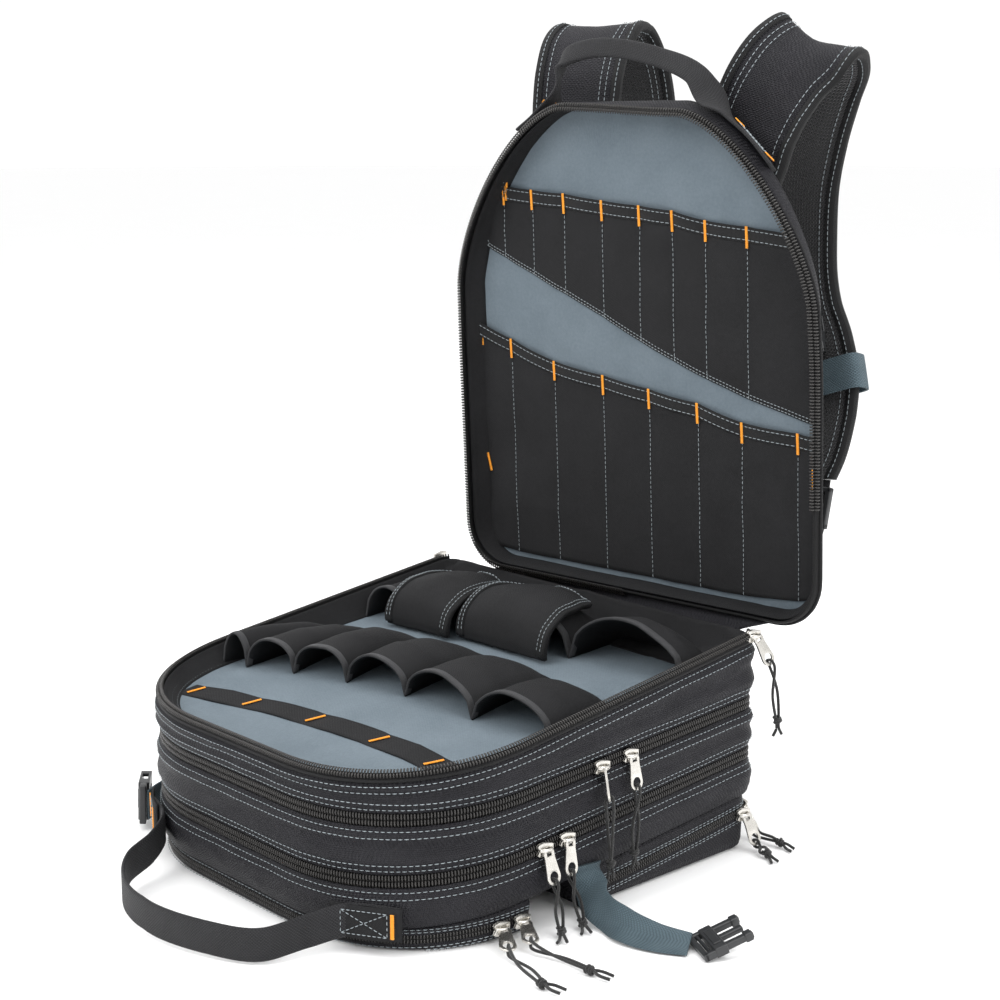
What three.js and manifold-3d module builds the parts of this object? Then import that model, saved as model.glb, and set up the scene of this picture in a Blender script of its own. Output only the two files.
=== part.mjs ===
// Tool backpack, unzipped and standing open on the floor.
// The front part lies face down: a stack of zipped compartments with an open tray on top.
// The padded back panel, with its tool pockets, stands up at the hinge, and the harness hangs behind it.
// Millimetres. X runs across the bag, Y from the tray's near end to the hinge, Z up.
import * as THREE from "three";
import { mergeVertices } from "three/addons/utils/BufferGeometryUtils.js";
import Module from "manifold-3d";

const wasm = await Module();
wasm.setup();

// Driving sizes of the front part.
const BAG_WIDTH = 370;
const BASE_LENGTH = 366;
const HINGE_HEIGHT = 172;
const NEAR_HEIGHT = 121;
const CLOTH = 2.4;
const SEAM_GAP = 0.3;
const ZIP_TAPE_HEIGHT = 17;
const ZIP_COIL_HEIGHT = 6;
const ZIP_COIL_PROUD = 1.6;
const RIM_ZIP_HEIGHT = 7;
const HINGE_CORNER_RADIUS = 16;
const POCKET_DEPTH_HINGE = 46;
const POCKET_DEPTH_NEAR = 14;
const POCKET_ZIP_HEIGHT = 9;
const BOTTOM_POCKET_LENGTH = 192;
const TOP_POCKET_LENGTH = 124;

// Driving sizes of the tray and what is sewn in it.
const LINING = 2.4;
const TRAY_DEPTH_HINGE = 24;
const TRAY_DEPTH_NEAR = 9;
const TRAY_CROWN = 5;
const NEAR_POCKET_COUNT = 6;
const NEAR_POCKET_HEIGHT = 27;
const HINGE_POCKET_HEIGHT = 42;
const FLAP_CLOTH = 3;
const LOOP_STRIP_WIDTH = 22;
const LOOP_STRIP_CLOTH = 1.6;

// Driving sizes of the back panel.
const PANEL_HEIGHT = 408;
const PANEL_DEPTH = 38;
const PANEL_CORNER_RADIUS = 40;
const PANEL_LINING_DEPTH = 22;
const RIM_TURN = 9;
const PANEL_SHIFT = 35;
const PANEL_GAP = 9;
const PANEL_LIFT = 178;
const PANEL_TWIST = THREE.MathUtils.degToRad(5.2);
const PANEL_LEAN = THREE.MathUtils.degToRad(3.2);
const TOOL_POCKET_CLOTH = 2;
const TOOL_POCKET_BULGE = 2.4;

// Driving sizes of the webbing, harness and hardware.
const WEBBING_WIDTH = 25;
const WEBBING = 2;
const HANDLE_WEBBING = 3;
const STRAP_WIDTH = 75;
const STRAP_PADDING = 11;
const BUCKLE_LENGTH = 44;
const BUCKLE_WIDTH = 33;
const BUCKLE_THICKNESS = 9;
const SLIDER_LENGTH = 15;
const SLIDER_WIDTH = 10.5;
const SLIDER_HEIGHT = 5;
const TAB_LENGTH = 25;
const TAB_WIDTH = 9.5;
const TAB_THICKNESS = 1.8;
const TAB_HOLE_DIAMETER = 5.6;
const CORD_DIAMETER = 2.4;
const CORD_SPREAD = 4.5;
const CORD_REST = (TAB_HOLE_DIAMETER - CORD_DIAMETER) / 2 - 0.7;
const KNOT_DIAMETER = 7.5;

const WALL_CLEARANCE = 0.4;
const LINING_SLOPE = 3;

const lerp = THREE.MathUtils.lerp;
const vec = (x, y, z) => new THREE.Vector3(x, y, z);

// Height shares of the front part's seams, at the hinge and at the near end.
const LEVELS = {
  rim: { hinge: 1, near: 1 },
  upperZip: { hinge: 0.71, near: 0.785 },
  lowerZip: { hinge: 0.47, near: 0.413 },
};

// How far a gusset's cloth stands out between its two seams, as shares of its height and of FOLD_PROUD.
const FOLD_PROUD = 4;
const FOLDS = [
  { height: 0, out: 0.1 },
  { height: 0.3, out: 0.9 },
  { height: 0.55, out: 0.45 },
  { height: 0.8, out: 1 },
  { height: 1, out: 0.2 },
];

function solidOf(geometry) {
  const bare = geometry.clone();
  bare.deleteAttribute("normal");
  bare.deleteAttribute("uv");
  const merged = mergeVertices(bare, 1e-4);
  return new wasm.Manifold(
    new wasm.Mesh({
      numProp: 3,
      vertProperties: new Float32Array(merged.attributes.position.array),
      triVerts: new Uint32Array(merged.index.array),
    }),
  );
}

function geometryOf(solid) {
  const mesh = solid.getMesh();
  const geometry = new THREE.BufferGeometry();
  geometry.setAttribute("position", new THREE.BufferAttribute(mesh.vertProperties, 3));
  geometry.setIndex(new THREE.BufferAttribute(mesh.triVerts, 1));
  return geometry;
}

const joined = (...geometries) =>
  geometryOf(geometries.map(solidOf).reduce((a, b) => a.add(b)));

// A closed surface from points and triangles, turned so that its faces point out.
function closedSurface(points, triangles) {
  let volume = 0;
  for (const [a, b, c] of triangles) {
    volume += points[a].dot(vec(0, 0, 0).crossVectors(points[b], points[c]));
  }
  const turned = volume < 0 ? triangles.map(([a, b, c]) => [a, c, b]) : triangles;
  const geometry = new THREE.BufferGeometry().setFromPoints(points);
  geometry.setIndex(turned.flat());
  return geometry;
}

// A sheet with thickness: two grids of points, one for each face, closed along their four edges.
function sheet(front, back) {
  const rows = front.length;
  const columns = front[0].length;
  const points = [...front.flat(), ...back.flat()];
  const backStart = rows * columns;
  const at = (row, column) => row * columns + column;
  const triangles = [];
  for (let row = 0; row < rows - 1; row++) {
    for (let column = 0; column < columns - 1; column++) {
      const [a, b] = [at(row, column), at(row, column + 1)];
      const [c, d] = [at(row + 1, column + 1), at(row + 1, column)];
      triangles.push([a, b, c], [a, c, d]);
      triangles.push([backStart + a, backStart + c, backStart + b]);
      triangles.push([backStart + a, backStart + d, backStart + c]);
    }
  }
  const edge = [];
  for (let column = 0; column < columns; column++) edge.push(at(0, column));
  for (let row = 1; row < rows; row++) edge.push(at(row, columns - 1));
  for (let column = columns - 2; column >= 0; column--) edge.push(at(rows - 1, column));
  for (let row = rows - 2; row > 0; row--) edge.push(at(row, 0));
  edge.forEach((a, i) => {
    const b = edge[(i + 1) % edge.length];
    triangles.push([a, backStart + a, backStart + b], [a, backStart + b, b]);
  });
  return closedSurface(points, triangles);
}

// A surface through rings of equal length. The ends close with a fan, or the last ring joins the first.
function rings(list, joinEnds = false) {
  const size = list[0].length;
  const points = list.flat();
  const triangles = [];
  const spans = joinEnds ? list.length : list.length - 1;
  for (let i = 0; i < spans; i++) {
    const from = i * size;
    const to = ((i + 1) % list.length) * size;
    for (let j = 0; j < size; j++) {
      const k = (j + 1) % size;
      triangles.push([from + j, from + k, to + k], [from + j, to + k, to + j]);
    }
  }
  if (!joinEnds) {
    for (const [start, flip] of [[0, true], [(list.length - 1) * size, false]]) {
      const centre = vec(0, 0, 0);
      for (let j = 0; j < size; j++) centre.addScaledVector(points[start + j], 1 / size);
      points.push(centre);
      for (let j = 0; j < size; j++) {
        const k = (j + 1) % size;
        const triangle = [start + j, start + k, points.length - 1];
        triangles.push(flip ? [triangle[1], triangle[0], triangle[2]] : triangle);
      }
    }
  }
  return closedSurface(points, triangles);
}

// The outline of the bag seen from its face: straight sides, then an arch with a flat top.
// Points run from the right end of the straight edge to its left end, as { x, s, nx, ns, t }.
function archOutline({ half, length, flat, arch, power, corner, sideSteps, archSteps }) {
  const flatHalf = flat * half * 2;
  const archLength = arch * length;
  const right = [];
  for (let i = 0; i <= 3; i++) {
    const angle = (i / 3) * (Math.PI / 2);
    right.push([half - corner * (1 - Math.sin(angle)), corner * (1 - Math.cos(angle))]);
  }
  for (let i = 1; i <= sideSteps; i++) {
    right.push([half, lerp(corner, length - archLength, i / sideSteps)]);
  }
  for (let i = 1; i <= archSteps; i++) {
    const angle = (i / archSteps) * (Math.PI / 2);
    const across = Math.max(0, Math.cos(angle)) ** (2 / power);
    const along = Math.sin(angle) ** (2 / power);
    right.push([flatHalf + (half - flatHalf) * across, length - archLength * (1 - along)]);
  }
  const left = right.map(([x, s]) => [-x, s]).reverse();
  const points = [...right, ...left];
  return points.map(([x, s], i) => {
    const before = points[(i + points.length - 1) % points.length];
    const after = points[(i + 1) % points.length];
    const run = new THREE.Vector2(after[0] - before[0], after[1] - before[1]).normalize();
    return { x, s, nx: run.y, ns: -run.x, t: s / length };
  });
}

const BASE_OUTLINE = archOutline({
  half: BAG_WIDTH / 2,
  length: BASE_LENGTH,
  flat: 0.15,
  arch: 0.334,
  power: 2.25,
  corner: HINGE_CORNER_RADIUS,
  sideSteps: 4,
  archSteps: 6,
});

const PANEL_OUTLINE = archOutline({
  half: BAG_WIDTH / 2,
  length: PANEL_HEIGHT,
  flat: 0.161,
  arch: 0.385,
  power: 1.6,
  corner: PANEL_CORNER_RADIUS,
  sideSteps: 3,
  archSteps: 8,
});

// A point of the base's wall, out from the outline and at a height.
const onBase = (p, out, z) => vec(p.x + p.nx * out, -(p.s + p.ns * out), z);
// The same, where the height depends on how far the point is from the hinge.
const onBaseAt = (p, out, heightAt) => onBase(p, out, heightAt((p.s + p.ns * out) / BASE_LENGTH));
// A point of the panel's wall in the panel's own frame: X across, Y back, Z up.
const onPanel = (p, out, depth) => vec(p.x + p.nx * out, depth, p.s + p.ns * out);

// The height of a seam at a share t of the way from the hinge to the near end.
const seamHeight = (level, t) =>
  lerp(LEVELS[level].hinge * HINGE_HEIGHT, LEVELS[level].near * NEAR_HEIGHT, t);
const frontHeight = (t) => lerp(POCKET_DEPTH_HINGE, POCKET_DEPTH_NEAR, t);

// Half the inner width of an arch at a distance s from its straight edge.
function innerHalf(outline, s, inset) {
  const right = outline.filter((p) => p.x > 0).map((p) => [p.x - inset, p.s]);
  const found = right.findIndex(([, at]) => at >= s);
  if (found < 0) return right.at(-1)[0];
  if (found === 0) return right[0][0];
  const [a, b] = [right[found - 1], right[found]];
  return lerp(a[0], b[0], (s - a[1]) / Math.max(b[1] - a[1], 1e-6));
}

// The outline's half width where the panel's corner doesn't count, for cloth sewn across it.
const panelHalf = (s, inset) =>
  innerHalf(PANEL_OUTLINE, Math.max(s, PANEL_CORNER_RADIUS), inset);

const material = (color, roughness, metalness = 0) =>
  new THREE.MeshStandardMaterial({ color, roughness, metalness });
const MATERIALS = {
  ballistic: material(0x232427, 0.75),
  canvas: material(0x2a2b2e, 0.85),
  lining: material(0x6c8391, 0.85),
  zip: material(0x1c1c1e, 0.5),
  webbing: material(0x1d1f20, 0.7),
  greyWebbing: material(0x3f525b, 0.7),
  mesh: material(0x1a1a1c, 0.9),
  plastic: material(0x26282a, 0.4),
  nickel: material(0xcfc9be, 0.3, 1),
  cord: material(0x141415, 0.8),
};

const bag = new THREE.Group();
const panel = new THREE.Group();
panel.position.set(PANEL_SHIFT, PANEL_GAP, PANEL_LIFT);
panel.rotation.set(PANEL_LEAN, 0, PANEL_TWIST, "ZYX");
bag.add(panel);
panel.updateMatrix();

function place(group, name, geometry, look) {
  const mesh = new THREE.Mesh(geometry, MATERIALS[look]);
  mesh.name = name;
  group.add(mesh);
  return mesh;
}

// The front part's walls.

// A ring of cloth between two seams, with its folds.
function gusset(lowAt, highAt) {
  const list = BASE_OUTLINE.map((p) => {
    const low = lowAt(p.t);
    const high = highAt(p.t);
    const outer = FOLDS.map((f) => onBase(p, FOLD_PROUD * f.out, lerp(low, high, f.height)));
    const inner = FOLDS.map((f) =>
      onBase(p, FOLD_PROUD * f.out - CLOTH, lerp(low, high, f.height)),
    );
    return [...outer, ...inner.reverse()];
  });
  return rings(list, true);
}

// A zip round the base: a strip of tape with the coil standing out along its middle.
function zipSection(p, middle, height, back) {
  const tape = height / 2;
  const coil = Math.min(ZIP_COIL_HEIGHT, height * 0.6) / 2;
  const front = back + CLOTH;
  return [
    onBase(p, back, middle - tape),
    onBase(p, front, middle - tape),
    onBase(p, front, middle - coil),
    onBase(p, front + ZIP_COIL_PROUD, middle - coil * 0.6),
    onBase(p, front + ZIP_COIL_PROUD, middle + coil * 0.6),
    onBase(p, front, middle + coil),
    onBase(p, front, middle + tape),
    onBase(p, back, middle + tape),
  ];
}

const zipEdge = ZIP_TAPE_HEIGHT / 2 + SEAM_GAP;
const ZIP_BACK = -CLOTH;

function frontPart() {
  place(
    bag,
    "upper_gusset",
    gusset(
      (t) => seamHeight("upperZip", t) + zipEdge,
      (t) => seamHeight("rim", t),
    ),
    "ballistic",
  );
  place(
    bag,
    "middle_gusset",
    gusset(
      (t) => seamHeight("lowerZip", t) + zipEdge,
      (t) => seamHeight("upperZip", t) - zipEdge,
    ),
    "ballistic",
  );
  for (const level of ["upperZip", "lowerZip"]) {
    const list = BASE_OUTLINE.map((p) =>
      zipSection(p, seamHeight(level, p.t), ZIP_TAPE_HEIGHT, ZIP_BACK),
    );
    place(bag, level === "upperZip" ? "upper_zip" : "lower_zip", rings(list, true), "zip");
  }
  place(bag, "front_shell", frontShell(), "ballistic");
  place(bag, "rim_zip", rimZip(), "zip");
}

// A bowl: rings down the outside, across the bottom and back up the inside, closed at both centres.
const bowl = (list) => rings(list);

// The lowest compartment: its gusset and, in the same cloth, the bag's front face.
function frontShell() {
  const top = (t) => seamHeight("lowerZip", t) - zipEdge;
  const ring = (out, heightAt) => BASE_OUTLINE.map((p) => onBaseAt(p, out, heightAt));
  const wall = (out, share, lift) =>
    ring(out, (t) => lerp(frontHeight(t) + lift, top(t), share));
  return bowl([
    ring(-CLOTH - 4, (t) => frontHeight(t) + CLOTH),
    wall(-CLOTH + FOLD_PROUD * 0.3, 0.12, CLOTH),
    wall(-CLOTH + FOLD_PROUD * 0.9, 0.6, 0),
    wall(-CLOTH + FOLD_PROUD * 0.2, 1, 0),
    wall(FOLD_PROUD * 0.2, 1, 0),
    wall(FOLD_PROUD * 0.9, 0.6, 0),
    wall(FOLD_PROUD * 0.3, 0.1, 0),
    ring(-4, frontHeight),
  ]);
}

// The open zip's half round the tray's rim. It ends at the hinge's two corners.
function rimZip() {
  const open = BASE_OUTLINE.slice(3, BASE_OUTLINE.length - 3);
  const half = CLOTH / 2;
  const list = open.map((p) => {
    const low = seamHeight("rim", p.t) + SEAM_GAP;
    const high = low + RIM_ZIP_HEIGHT;
    const middle = FOLD_PROUD * 0.2 - half;
    return [
      onBase(p, middle - half, low),
      onBase(p, middle + half, low),
      onBase(p, middle + half, high - ZIP_COIL_PROUD * 2),
      onBase(p, middle + half + ZIP_COIL_PROUD, high - ZIP_COIL_PROUD),
      onBase(p, middle, high),
      onBase(p, middle - half, high - ZIP_COIL_PROUD),
    ];
  });
  return rings(list);
}

// The two pockets on the bag's front face, which it lies on. Each is a tray of cloth, open upwards.
function closeLoop(points) {
  return points.map((p, i) => {
    const before = points[(i + points.length - 1) % points.length];
    const after = points[(i + 1) % points.length];
    const a = new THREE.Vector2(p.x - before.x, p.s - before.s).normalize();
    const b = new THREE.Vector2(after.x - p.x, after.s - p.s).normalize();
    const normal = new THREE.Vector2(a.y + b.y, -(a.x + b.x));
    const stretch = 1 / Math.max(0.5, 1 + a.dot(b));
    return {
      ...p,
      nx: normal.x * stretch,
      ns: normal.y * stretch,
      t: p.s / BASE_LENGTH,
    };
  });
}

// The outline between two distances from the hinge, with straight edges across where it is cut.
function outlineBetween(from, to) {
  const half = BAG_WIDTH / 2;
  const inside = BASE_OUTLINE.filter((p) => p.s > from + 6 && p.s < to - 6);
  const right = inside.filter((p) => p.x > 0);
  const left = inside.filter((p) => p.x < 0);
  const cuts = { near: to < BASE_LENGTH, hinge: from > 0 };
  const nearEdge = cuts.near
    ? [
        { x: half, s: to },
        { x: -half, s: to },
      ]
    : BASE_OUTLINE.filter((p) => p.s >= to - 6);
  const hingeEdge = cuts.hinge
    ? [
        { x: -half, s: from },
        { x: half, s: from },
      ]
    : BASE_OUTLINE.filter((p) => p.s <= from + 6 && p.x < 0);
  const hingeStart = cuts.hinge ? [] : BASE_OUTLINE.filter((p) => p.s <= from + 6 && p.x > 0);
  return closeLoop([...hingeStart, ...right, ...nearEdge, ...left, ...hingeEdge]);
}

const POCKET_INSET = 3;

function facePocket(loop, zipShare) {
  const ring = (out, heightAt) => loop.map((p) => onBaseAt(p, out - POCKET_INSET, heightAt));
  const top = (t) => frontHeight(t) - SEAM_GAP;
  const zipMiddle = (t) => top(t) * zipShare(t);
  const notch = POCKET_ZIP_HEIGHT / 2 + SEAM_GAP;
  const groove = -CLOTH - SEAM_GAP;
  const beside = (out, side) =>
    loop.map((p) => onBase(p, out - POCKET_INSET, zipMiddle(p.t) + side * notch));
  return bowl([
    ring(-CLOTH * 2 - 4, () => CLOTH),
    ring(groove - CLOTH, (t) => Math.max(zipMiddle(t) - notch, CLOTH + 0.4)),
    ring(groove - CLOTH, top),
    ring(0, top),
    beside(0, 1),
    beside(groove, 1),
    beside(groove, -1),
    beside(0, -1),
    ring(-4, () => 0),
  ]);
}

// The zip in a face pocket's groove, from one end of the cut edge round to the other.
function facePocketZip(loop, zipShare, cut) {
  const top = (t) => frontHeight(t) - SEAM_GAP;
  const onCut = (i) => Math.abs(loop[i % loop.length].s - cut) < 1;
  const start = loop.findIndex((p, i) => onCut(i) && !onCut(i + 1));
  const run = loop.map((p, i) => loop[(start + i) % loop.length]);
  const back = -POCKET_INSET - CLOTH;
  return rings(run.map((p) => zipSection(p, top(p.t) * zipShare(p.t), POCKET_ZIP_HEIGHT, back)));
}

const BOTTOM_ZIP_SHARE = (t) => lerp(0.7, 0.42, Math.min(1, t * 1.9));
const TOP_ZIP_SHARE = () => 0.5;

function facePockets() {
  const bottomLoop = outlineBetween(0, BOTTOM_POCKET_LENGTH);
  const topLoop = outlineBetween(BASE_LENGTH - TOP_POCKET_LENGTH, BASE_LENGTH);
  place(bag, "bottom_pocket", facePocket(bottomLoop, BOTTOM_ZIP_SHARE), "ballistic");
  place(
    bag,
    "bottom_pocket_zip",
    facePocketZip(bottomLoop, BOTTOM_ZIP_SHARE, BOTTOM_POCKET_LENGTH),
    "zip",
  );
  place(bag, "top_pocket", facePocket(topLoop, TOP_ZIP_SHARE), "ballistic");
  place(
    bag,
    "top_pocket_zip",
    facePocketZip(topLoop, TOP_ZIP_SHARE, BASE_LENGTH - TOP_POCKET_LENGTH),
    "zip",
  );
}

// The tray.

// The height of the tray's lining: it dips from the rim and swells in the middle.
function trayHeight(x, s) {
  const t = THREE.MathUtils.clamp(s / BASE_LENGTH, 0, 1);
  const across = 1 - Math.min(1, Math.abs(x) / (BAG_WIDTH / 2)) ** 2;
  const along = Math.sin(Math.PI * THREE.MathUtils.clamp(t, 0.02, 0.98));
  const depth = lerp(TRAY_DEPTH_HINGE, TRAY_DEPTH_NEAR, t);
  return seamHeight("rim", t) - depth + TRAY_CROWN * across * along;
}

// The lining hangs from the rim: its wall slopes in from the seam, down to the floor of the tray.
function trayLining() {
  const seam = FOLD_PROUD * FOLDS.at(-1).out - CLOTH - WALL_CLEARANCE;
  const floorEdge = -CLOTH - WALL_CLEARANCE - LINING_SLOPE;
  const ring = (scale, drop, out = floorEdge) =>
    BASE_OUTLINE.map((p) => {
      const x = (p.x + p.nx * out) * scale;
      const s = lerp(BASE_LENGTH / 2, p.s + p.ns * out, scale);
      return vec(x, -s, trayHeight(x, s) - drop);
    });
  const hem = (out) => BASE_OUTLINE.map((p) => onBase(p, out, seamHeight("rim", p.t) - 1));
  return rings([
    ring(0.35, 0),
    ring(0.75, 0),
    ring(1, 0, floorEdge - LINING),
    hem(seam - LINING),
    hem(seam),
    ring(1, LINING),
    ring(0.75, LINING),
    ring(0.35, LINING),
  ]);
}

// A row of pleated pockets: anchors on the lining where each pleat is tacked, at the mouth and at the back.
// The cloth arches between anchors at the mouth and lies flat along the back seam.
const PLEAT = [
  { across: 0, rise: 0 },
  { across: 0.1, rise: 0.72 },
  { across: 0.34, rise: 1 },
  { across: 0.66, rise: 1 },
  { across: 0.9, rise: 0.72 },
];
const POCKET_TAPER = [
  { along: 0, rise: 1 },
  { along: 0.35, rise: 0.94 },
  { along: 0.7, rise: 0.66 },
  { along: 0.93, rise: 0.28 },
  { along: 1, rise: 0.06 },
];

function pocketRow(mouths, backs, heights) {
  const front = [];
  const back = [];
  for (const { along, rise: taper } of POCKET_TAPER) {
    const outer = [];
    const inner = [];
    const anchor = (i) => ({
      x: lerp(mouths[i].x, backs[i].x, along),
      s: lerp(mouths[i].s, backs[i].s, along),
    });
    for (let i = 0; i < heights.length; i++) {
      const [a, b] = [anchor(i), anchor(i + 1)];
      const width = Math.hypot(b.x - a.x, b.s - a.s);
      PLEAT.forEach(({ across, rise }) => {
        const lift = heights[i] * rise * taper;
        const pull = across === 0 ? 0 : (Math.sign(0.5 - across) * CLOTH * 0.9 * rise) / width;
        const point = (q, up) => {
          const x = lerp(a.x, b.x, q);
          const s = lerp(a.s, b.s, q);
          return vec(x, -s, trayHeight(x, s) + SEAM_GAP * 2 + up);
        };
        outer.push(point(across, lift + CLOTH));
        inner.push(point(Math.abs(across - 0.5) > 0.3 ? across + pull : across, lift));
      });
    }
    const last = anchor(heights.length);
    const base = trayHeight(last.x, last.s) + SEAM_GAP * 2;
    outer.push(vec(last.x, -last.s, base + CLOTH));
    inner.push(vec(last.x, -last.s, base));
    front.push(outer);
    back.push(inner);
  }
  return sheet(front, back);
}

// The near row's mouths and back seam, as shares of the bag's width and the base's length.
const NEAR_ROW = [
  { mouthX: -0.468, mouthS: 0.71, backX: -0.455, backS: 0.43 },
  { mouthX: -0.4, mouthS: 0.695, backX: -0.4, backS: 0.41 },
  { mouthX: -0.27, mouthS: 0.66, backX: -0.33, backS: 0.37 },
  { mouthX: -0.12, mouthS: 0.628, backX: -0.19, backS: 0.345 },
  { mouthX: 0.05, mouthS: 0.605, backX: 0.02, backS: 0.335 },
  { mouthX: 0.255, mouthS: 0.6, backX: 0.23, backS: 0.345 },
  { mouthX: 0.455, mouthS: 0.575, backX: 0.43, backS: 0.37 },
];
// The hinge row's four pockets: a small one, two under flaps and a wide one.
const HINGE_ROW = [
  { mouthX: -0.462, mouthS: 0.3, backX: -0.458, backS: 0.06, height: 0.7 },
  { mouthX: -0.365, mouthS: 0.265, backX: -0.36, backS: 0.055, height: 0.8 },
  { mouthX: -0.14, mouthS: 0.245, backX: -0.13, backS: 0.05, height: 0.86 },
  { mouthX: 0.155, mouthS: 0.225, backX: 0.16, backS: 0.05, height: 0.95 },
  { mouthX: 0.455, mouthS: 0.19, backX: 0.45, backS: 0.055 },
];

const rowAnchors = (row) => ({
  mouths: row.map((r) => ({ x: r.mouthX * BAG_WIDTH, s: r.mouthS * BASE_LENGTH })),
  backs: row.map((r) => ({ x: r.backX * BAG_WIDTH, s: r.backS * BASE_LENGTH })),
});

function pocketRows() {
  const near = rowAnchors(NEAR_ROW);
  const nearHeights = Array.from({ length: NEAR_POCKET_COUNT }, () => NEAR_POCKET_HEIGHT);
  place(bag, "near_pocket_row", pocketRow(near.mouths, near.backs, nearHeights), "canvas");
  const hinge = rowAnchors(HINGE_ROW);
  const hingeHeights = HINGE_ROW.slice(0, -1).map((r) => r.height * HINGE_POCKET_HEIGHT);
  place(bag, "hinge_pocket_row", pocketRow(hinge.mouths, hinge.backs, hingeHeights), "canvas");
}

// A flap: sewn to the lining in front of a pocket's mouth, folded up and over the pocket.
// rise is a share of the pocket's height, along runs from the mouth (0) to the back seam (1).
const FLAP_RUN = [
  { along: -0.3, rise: 0, width: 0.98 },
  { along: -0.31, rise: 0.3, width: 1 },
  { along: -0.22, rise: 0.85, width: 1 },
  { along: -0.02, rise: 1.14, width: 1 },
  { along: 0.25, rise: 1.2, width: 0.97 },
  { along: 0.5, rise: 1.1, width: 0.86 },
  { along: 0.68, rise: 0.96, width: 0.66 },
  { along: 0.8, rise: 0.86, width: 0.3 },
];
const FLAP_ACROSS = [-0.5, -0.3, 0, 0.3, 0.5];
const FLAP_DROOP = 7;

function flap(index) {
  const { mouths, backs } = rowAnchors(HINGE_ROW);
  const height = HINGE_ROW[index].height * HINGE_POCKET_HEIGHT;
  const [a, b] = [mouths[index], mouths[index + 1]];
  const [c, d] = [backs[index], backs[index + 1]];
  const middle = (p, q) => ({ x: (p.x + q.x) / 2, s: (p.s + q.s) / 2 });
  const [mouth, back] = [middle(a, b), middle(c, d)];
  const width = (b.x - a.x) * 0.97;
  const grid = (lift) =>
    FLAP_RUN.map((f) =>
      FLAP_ACROSS.map((across) => {
        const x = lerp(mouth.x, back.x, f.along) + across * width * f.width;
        const s = lerp(mouth.s, back.s, f.along);
        const droop = FLAP_DROOP * (across * 2) ** 2 * Math.min(1, f.rise);
        const base = trayHeight(x, s) + SEAM_GAP * 2 + (f.rise > 0 ? CLOTH : 0);
        return vec(x, -s, base + height * f.rise - droop + lift);
      }),
    );
  const outer = grid(FLAP_CLOTH);
  const inner = grid(0);
  // The cloth stands up where it is folded, so its thickness turns with it there.
  outer[0].forEach((p, i) => p.setY(inner[0][i].y - FLAP_CLOTH).setZ(inner[0][i].z));
  outer[1].forEach((p, i) => p.setY(inner[1][i].y - FLAP_CLOTH).setZ(inner[1][i].z));
  return sheet(outer, inner);
}

function flaps() {
  place(bag, "flap_left", flap(1), "canvas");
  place(bag, "flap_right", flap(2), "canvas");
}

// The flat strip of loops across the near end, tacked down to the lining.
const STRIP_RUN = [
  { x: -0.4, s: 0.855 },
  { x: -0.25, s: 0.83 },
  { x: -0.08, s: 0.805 },
  { x: 0.1, s: 0.79 },
  { x: 0.27, s: 0.785 },
  { x: 0.4, s: 0.79 },
];

function loopStrip() {
  const side = LOOP_STRIP_WIDTH / 2;
  const grid = (lift) =>
    STRIP_RUN.map((p) =>
      [-side, 0, side].map((offset) => {
        const x = p.x * BAG_WIDTH;
        const s = p.s * BASE_LENGTH + offset;
        return vec(x, -s, trayHeight(x, s) + SEAM_GAP * 2 + lift);
      }),
    );
  place(bag, "loop_strip", sheet(grid(LOOP_STRIP_CLOTH), grid(0)), "canvas");
}

// The back panel.

// The panel's wall leans in from its zip to its padded back: how far out it stands at each depth.
const PANEL_WALL = [
  { depth: RIM_ZIP_HEIGHT, out: 0 },
  { depth: 15, out: -6 },
  { depth: 25, out: -15 },
];
const PANEL_BACK = [
  { depth: 33, out: -20 },
  { depth: PANEL_DEPTH, out: -36 },
];
// The lean counts in full on the panel's two sides, and little at its top and bottom.
const END_LEAN = 0.3;
const leanAt = (p) => lerp(END_LEAN, 1, Math.min(1, p.nx * p.nx));
const wallOut = (depth) => {
  const [a, b] = depth < PANEL_WALL[1].depth ? PANEL_WALL : PANEL_WALL.slice(1);
  return lerp(a.out, b.out, (depth - a.depth) / (b.depth - a.depth));
};
const LINING_LEAN = -wallOut(PANEL_LINING_DEPTH + LINING);

// The zip's rim turns in over the top of the panel, more on the right, so that its wall stands out there.
const rimTurn = (p) =>
  THREE.MathUtils.smoothstep(p.s / PANEL_HEIGHT, 0.45, 0.9) * (p.x > 0 ? RIM_TURN : RIM_TURN * 0.3);

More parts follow.
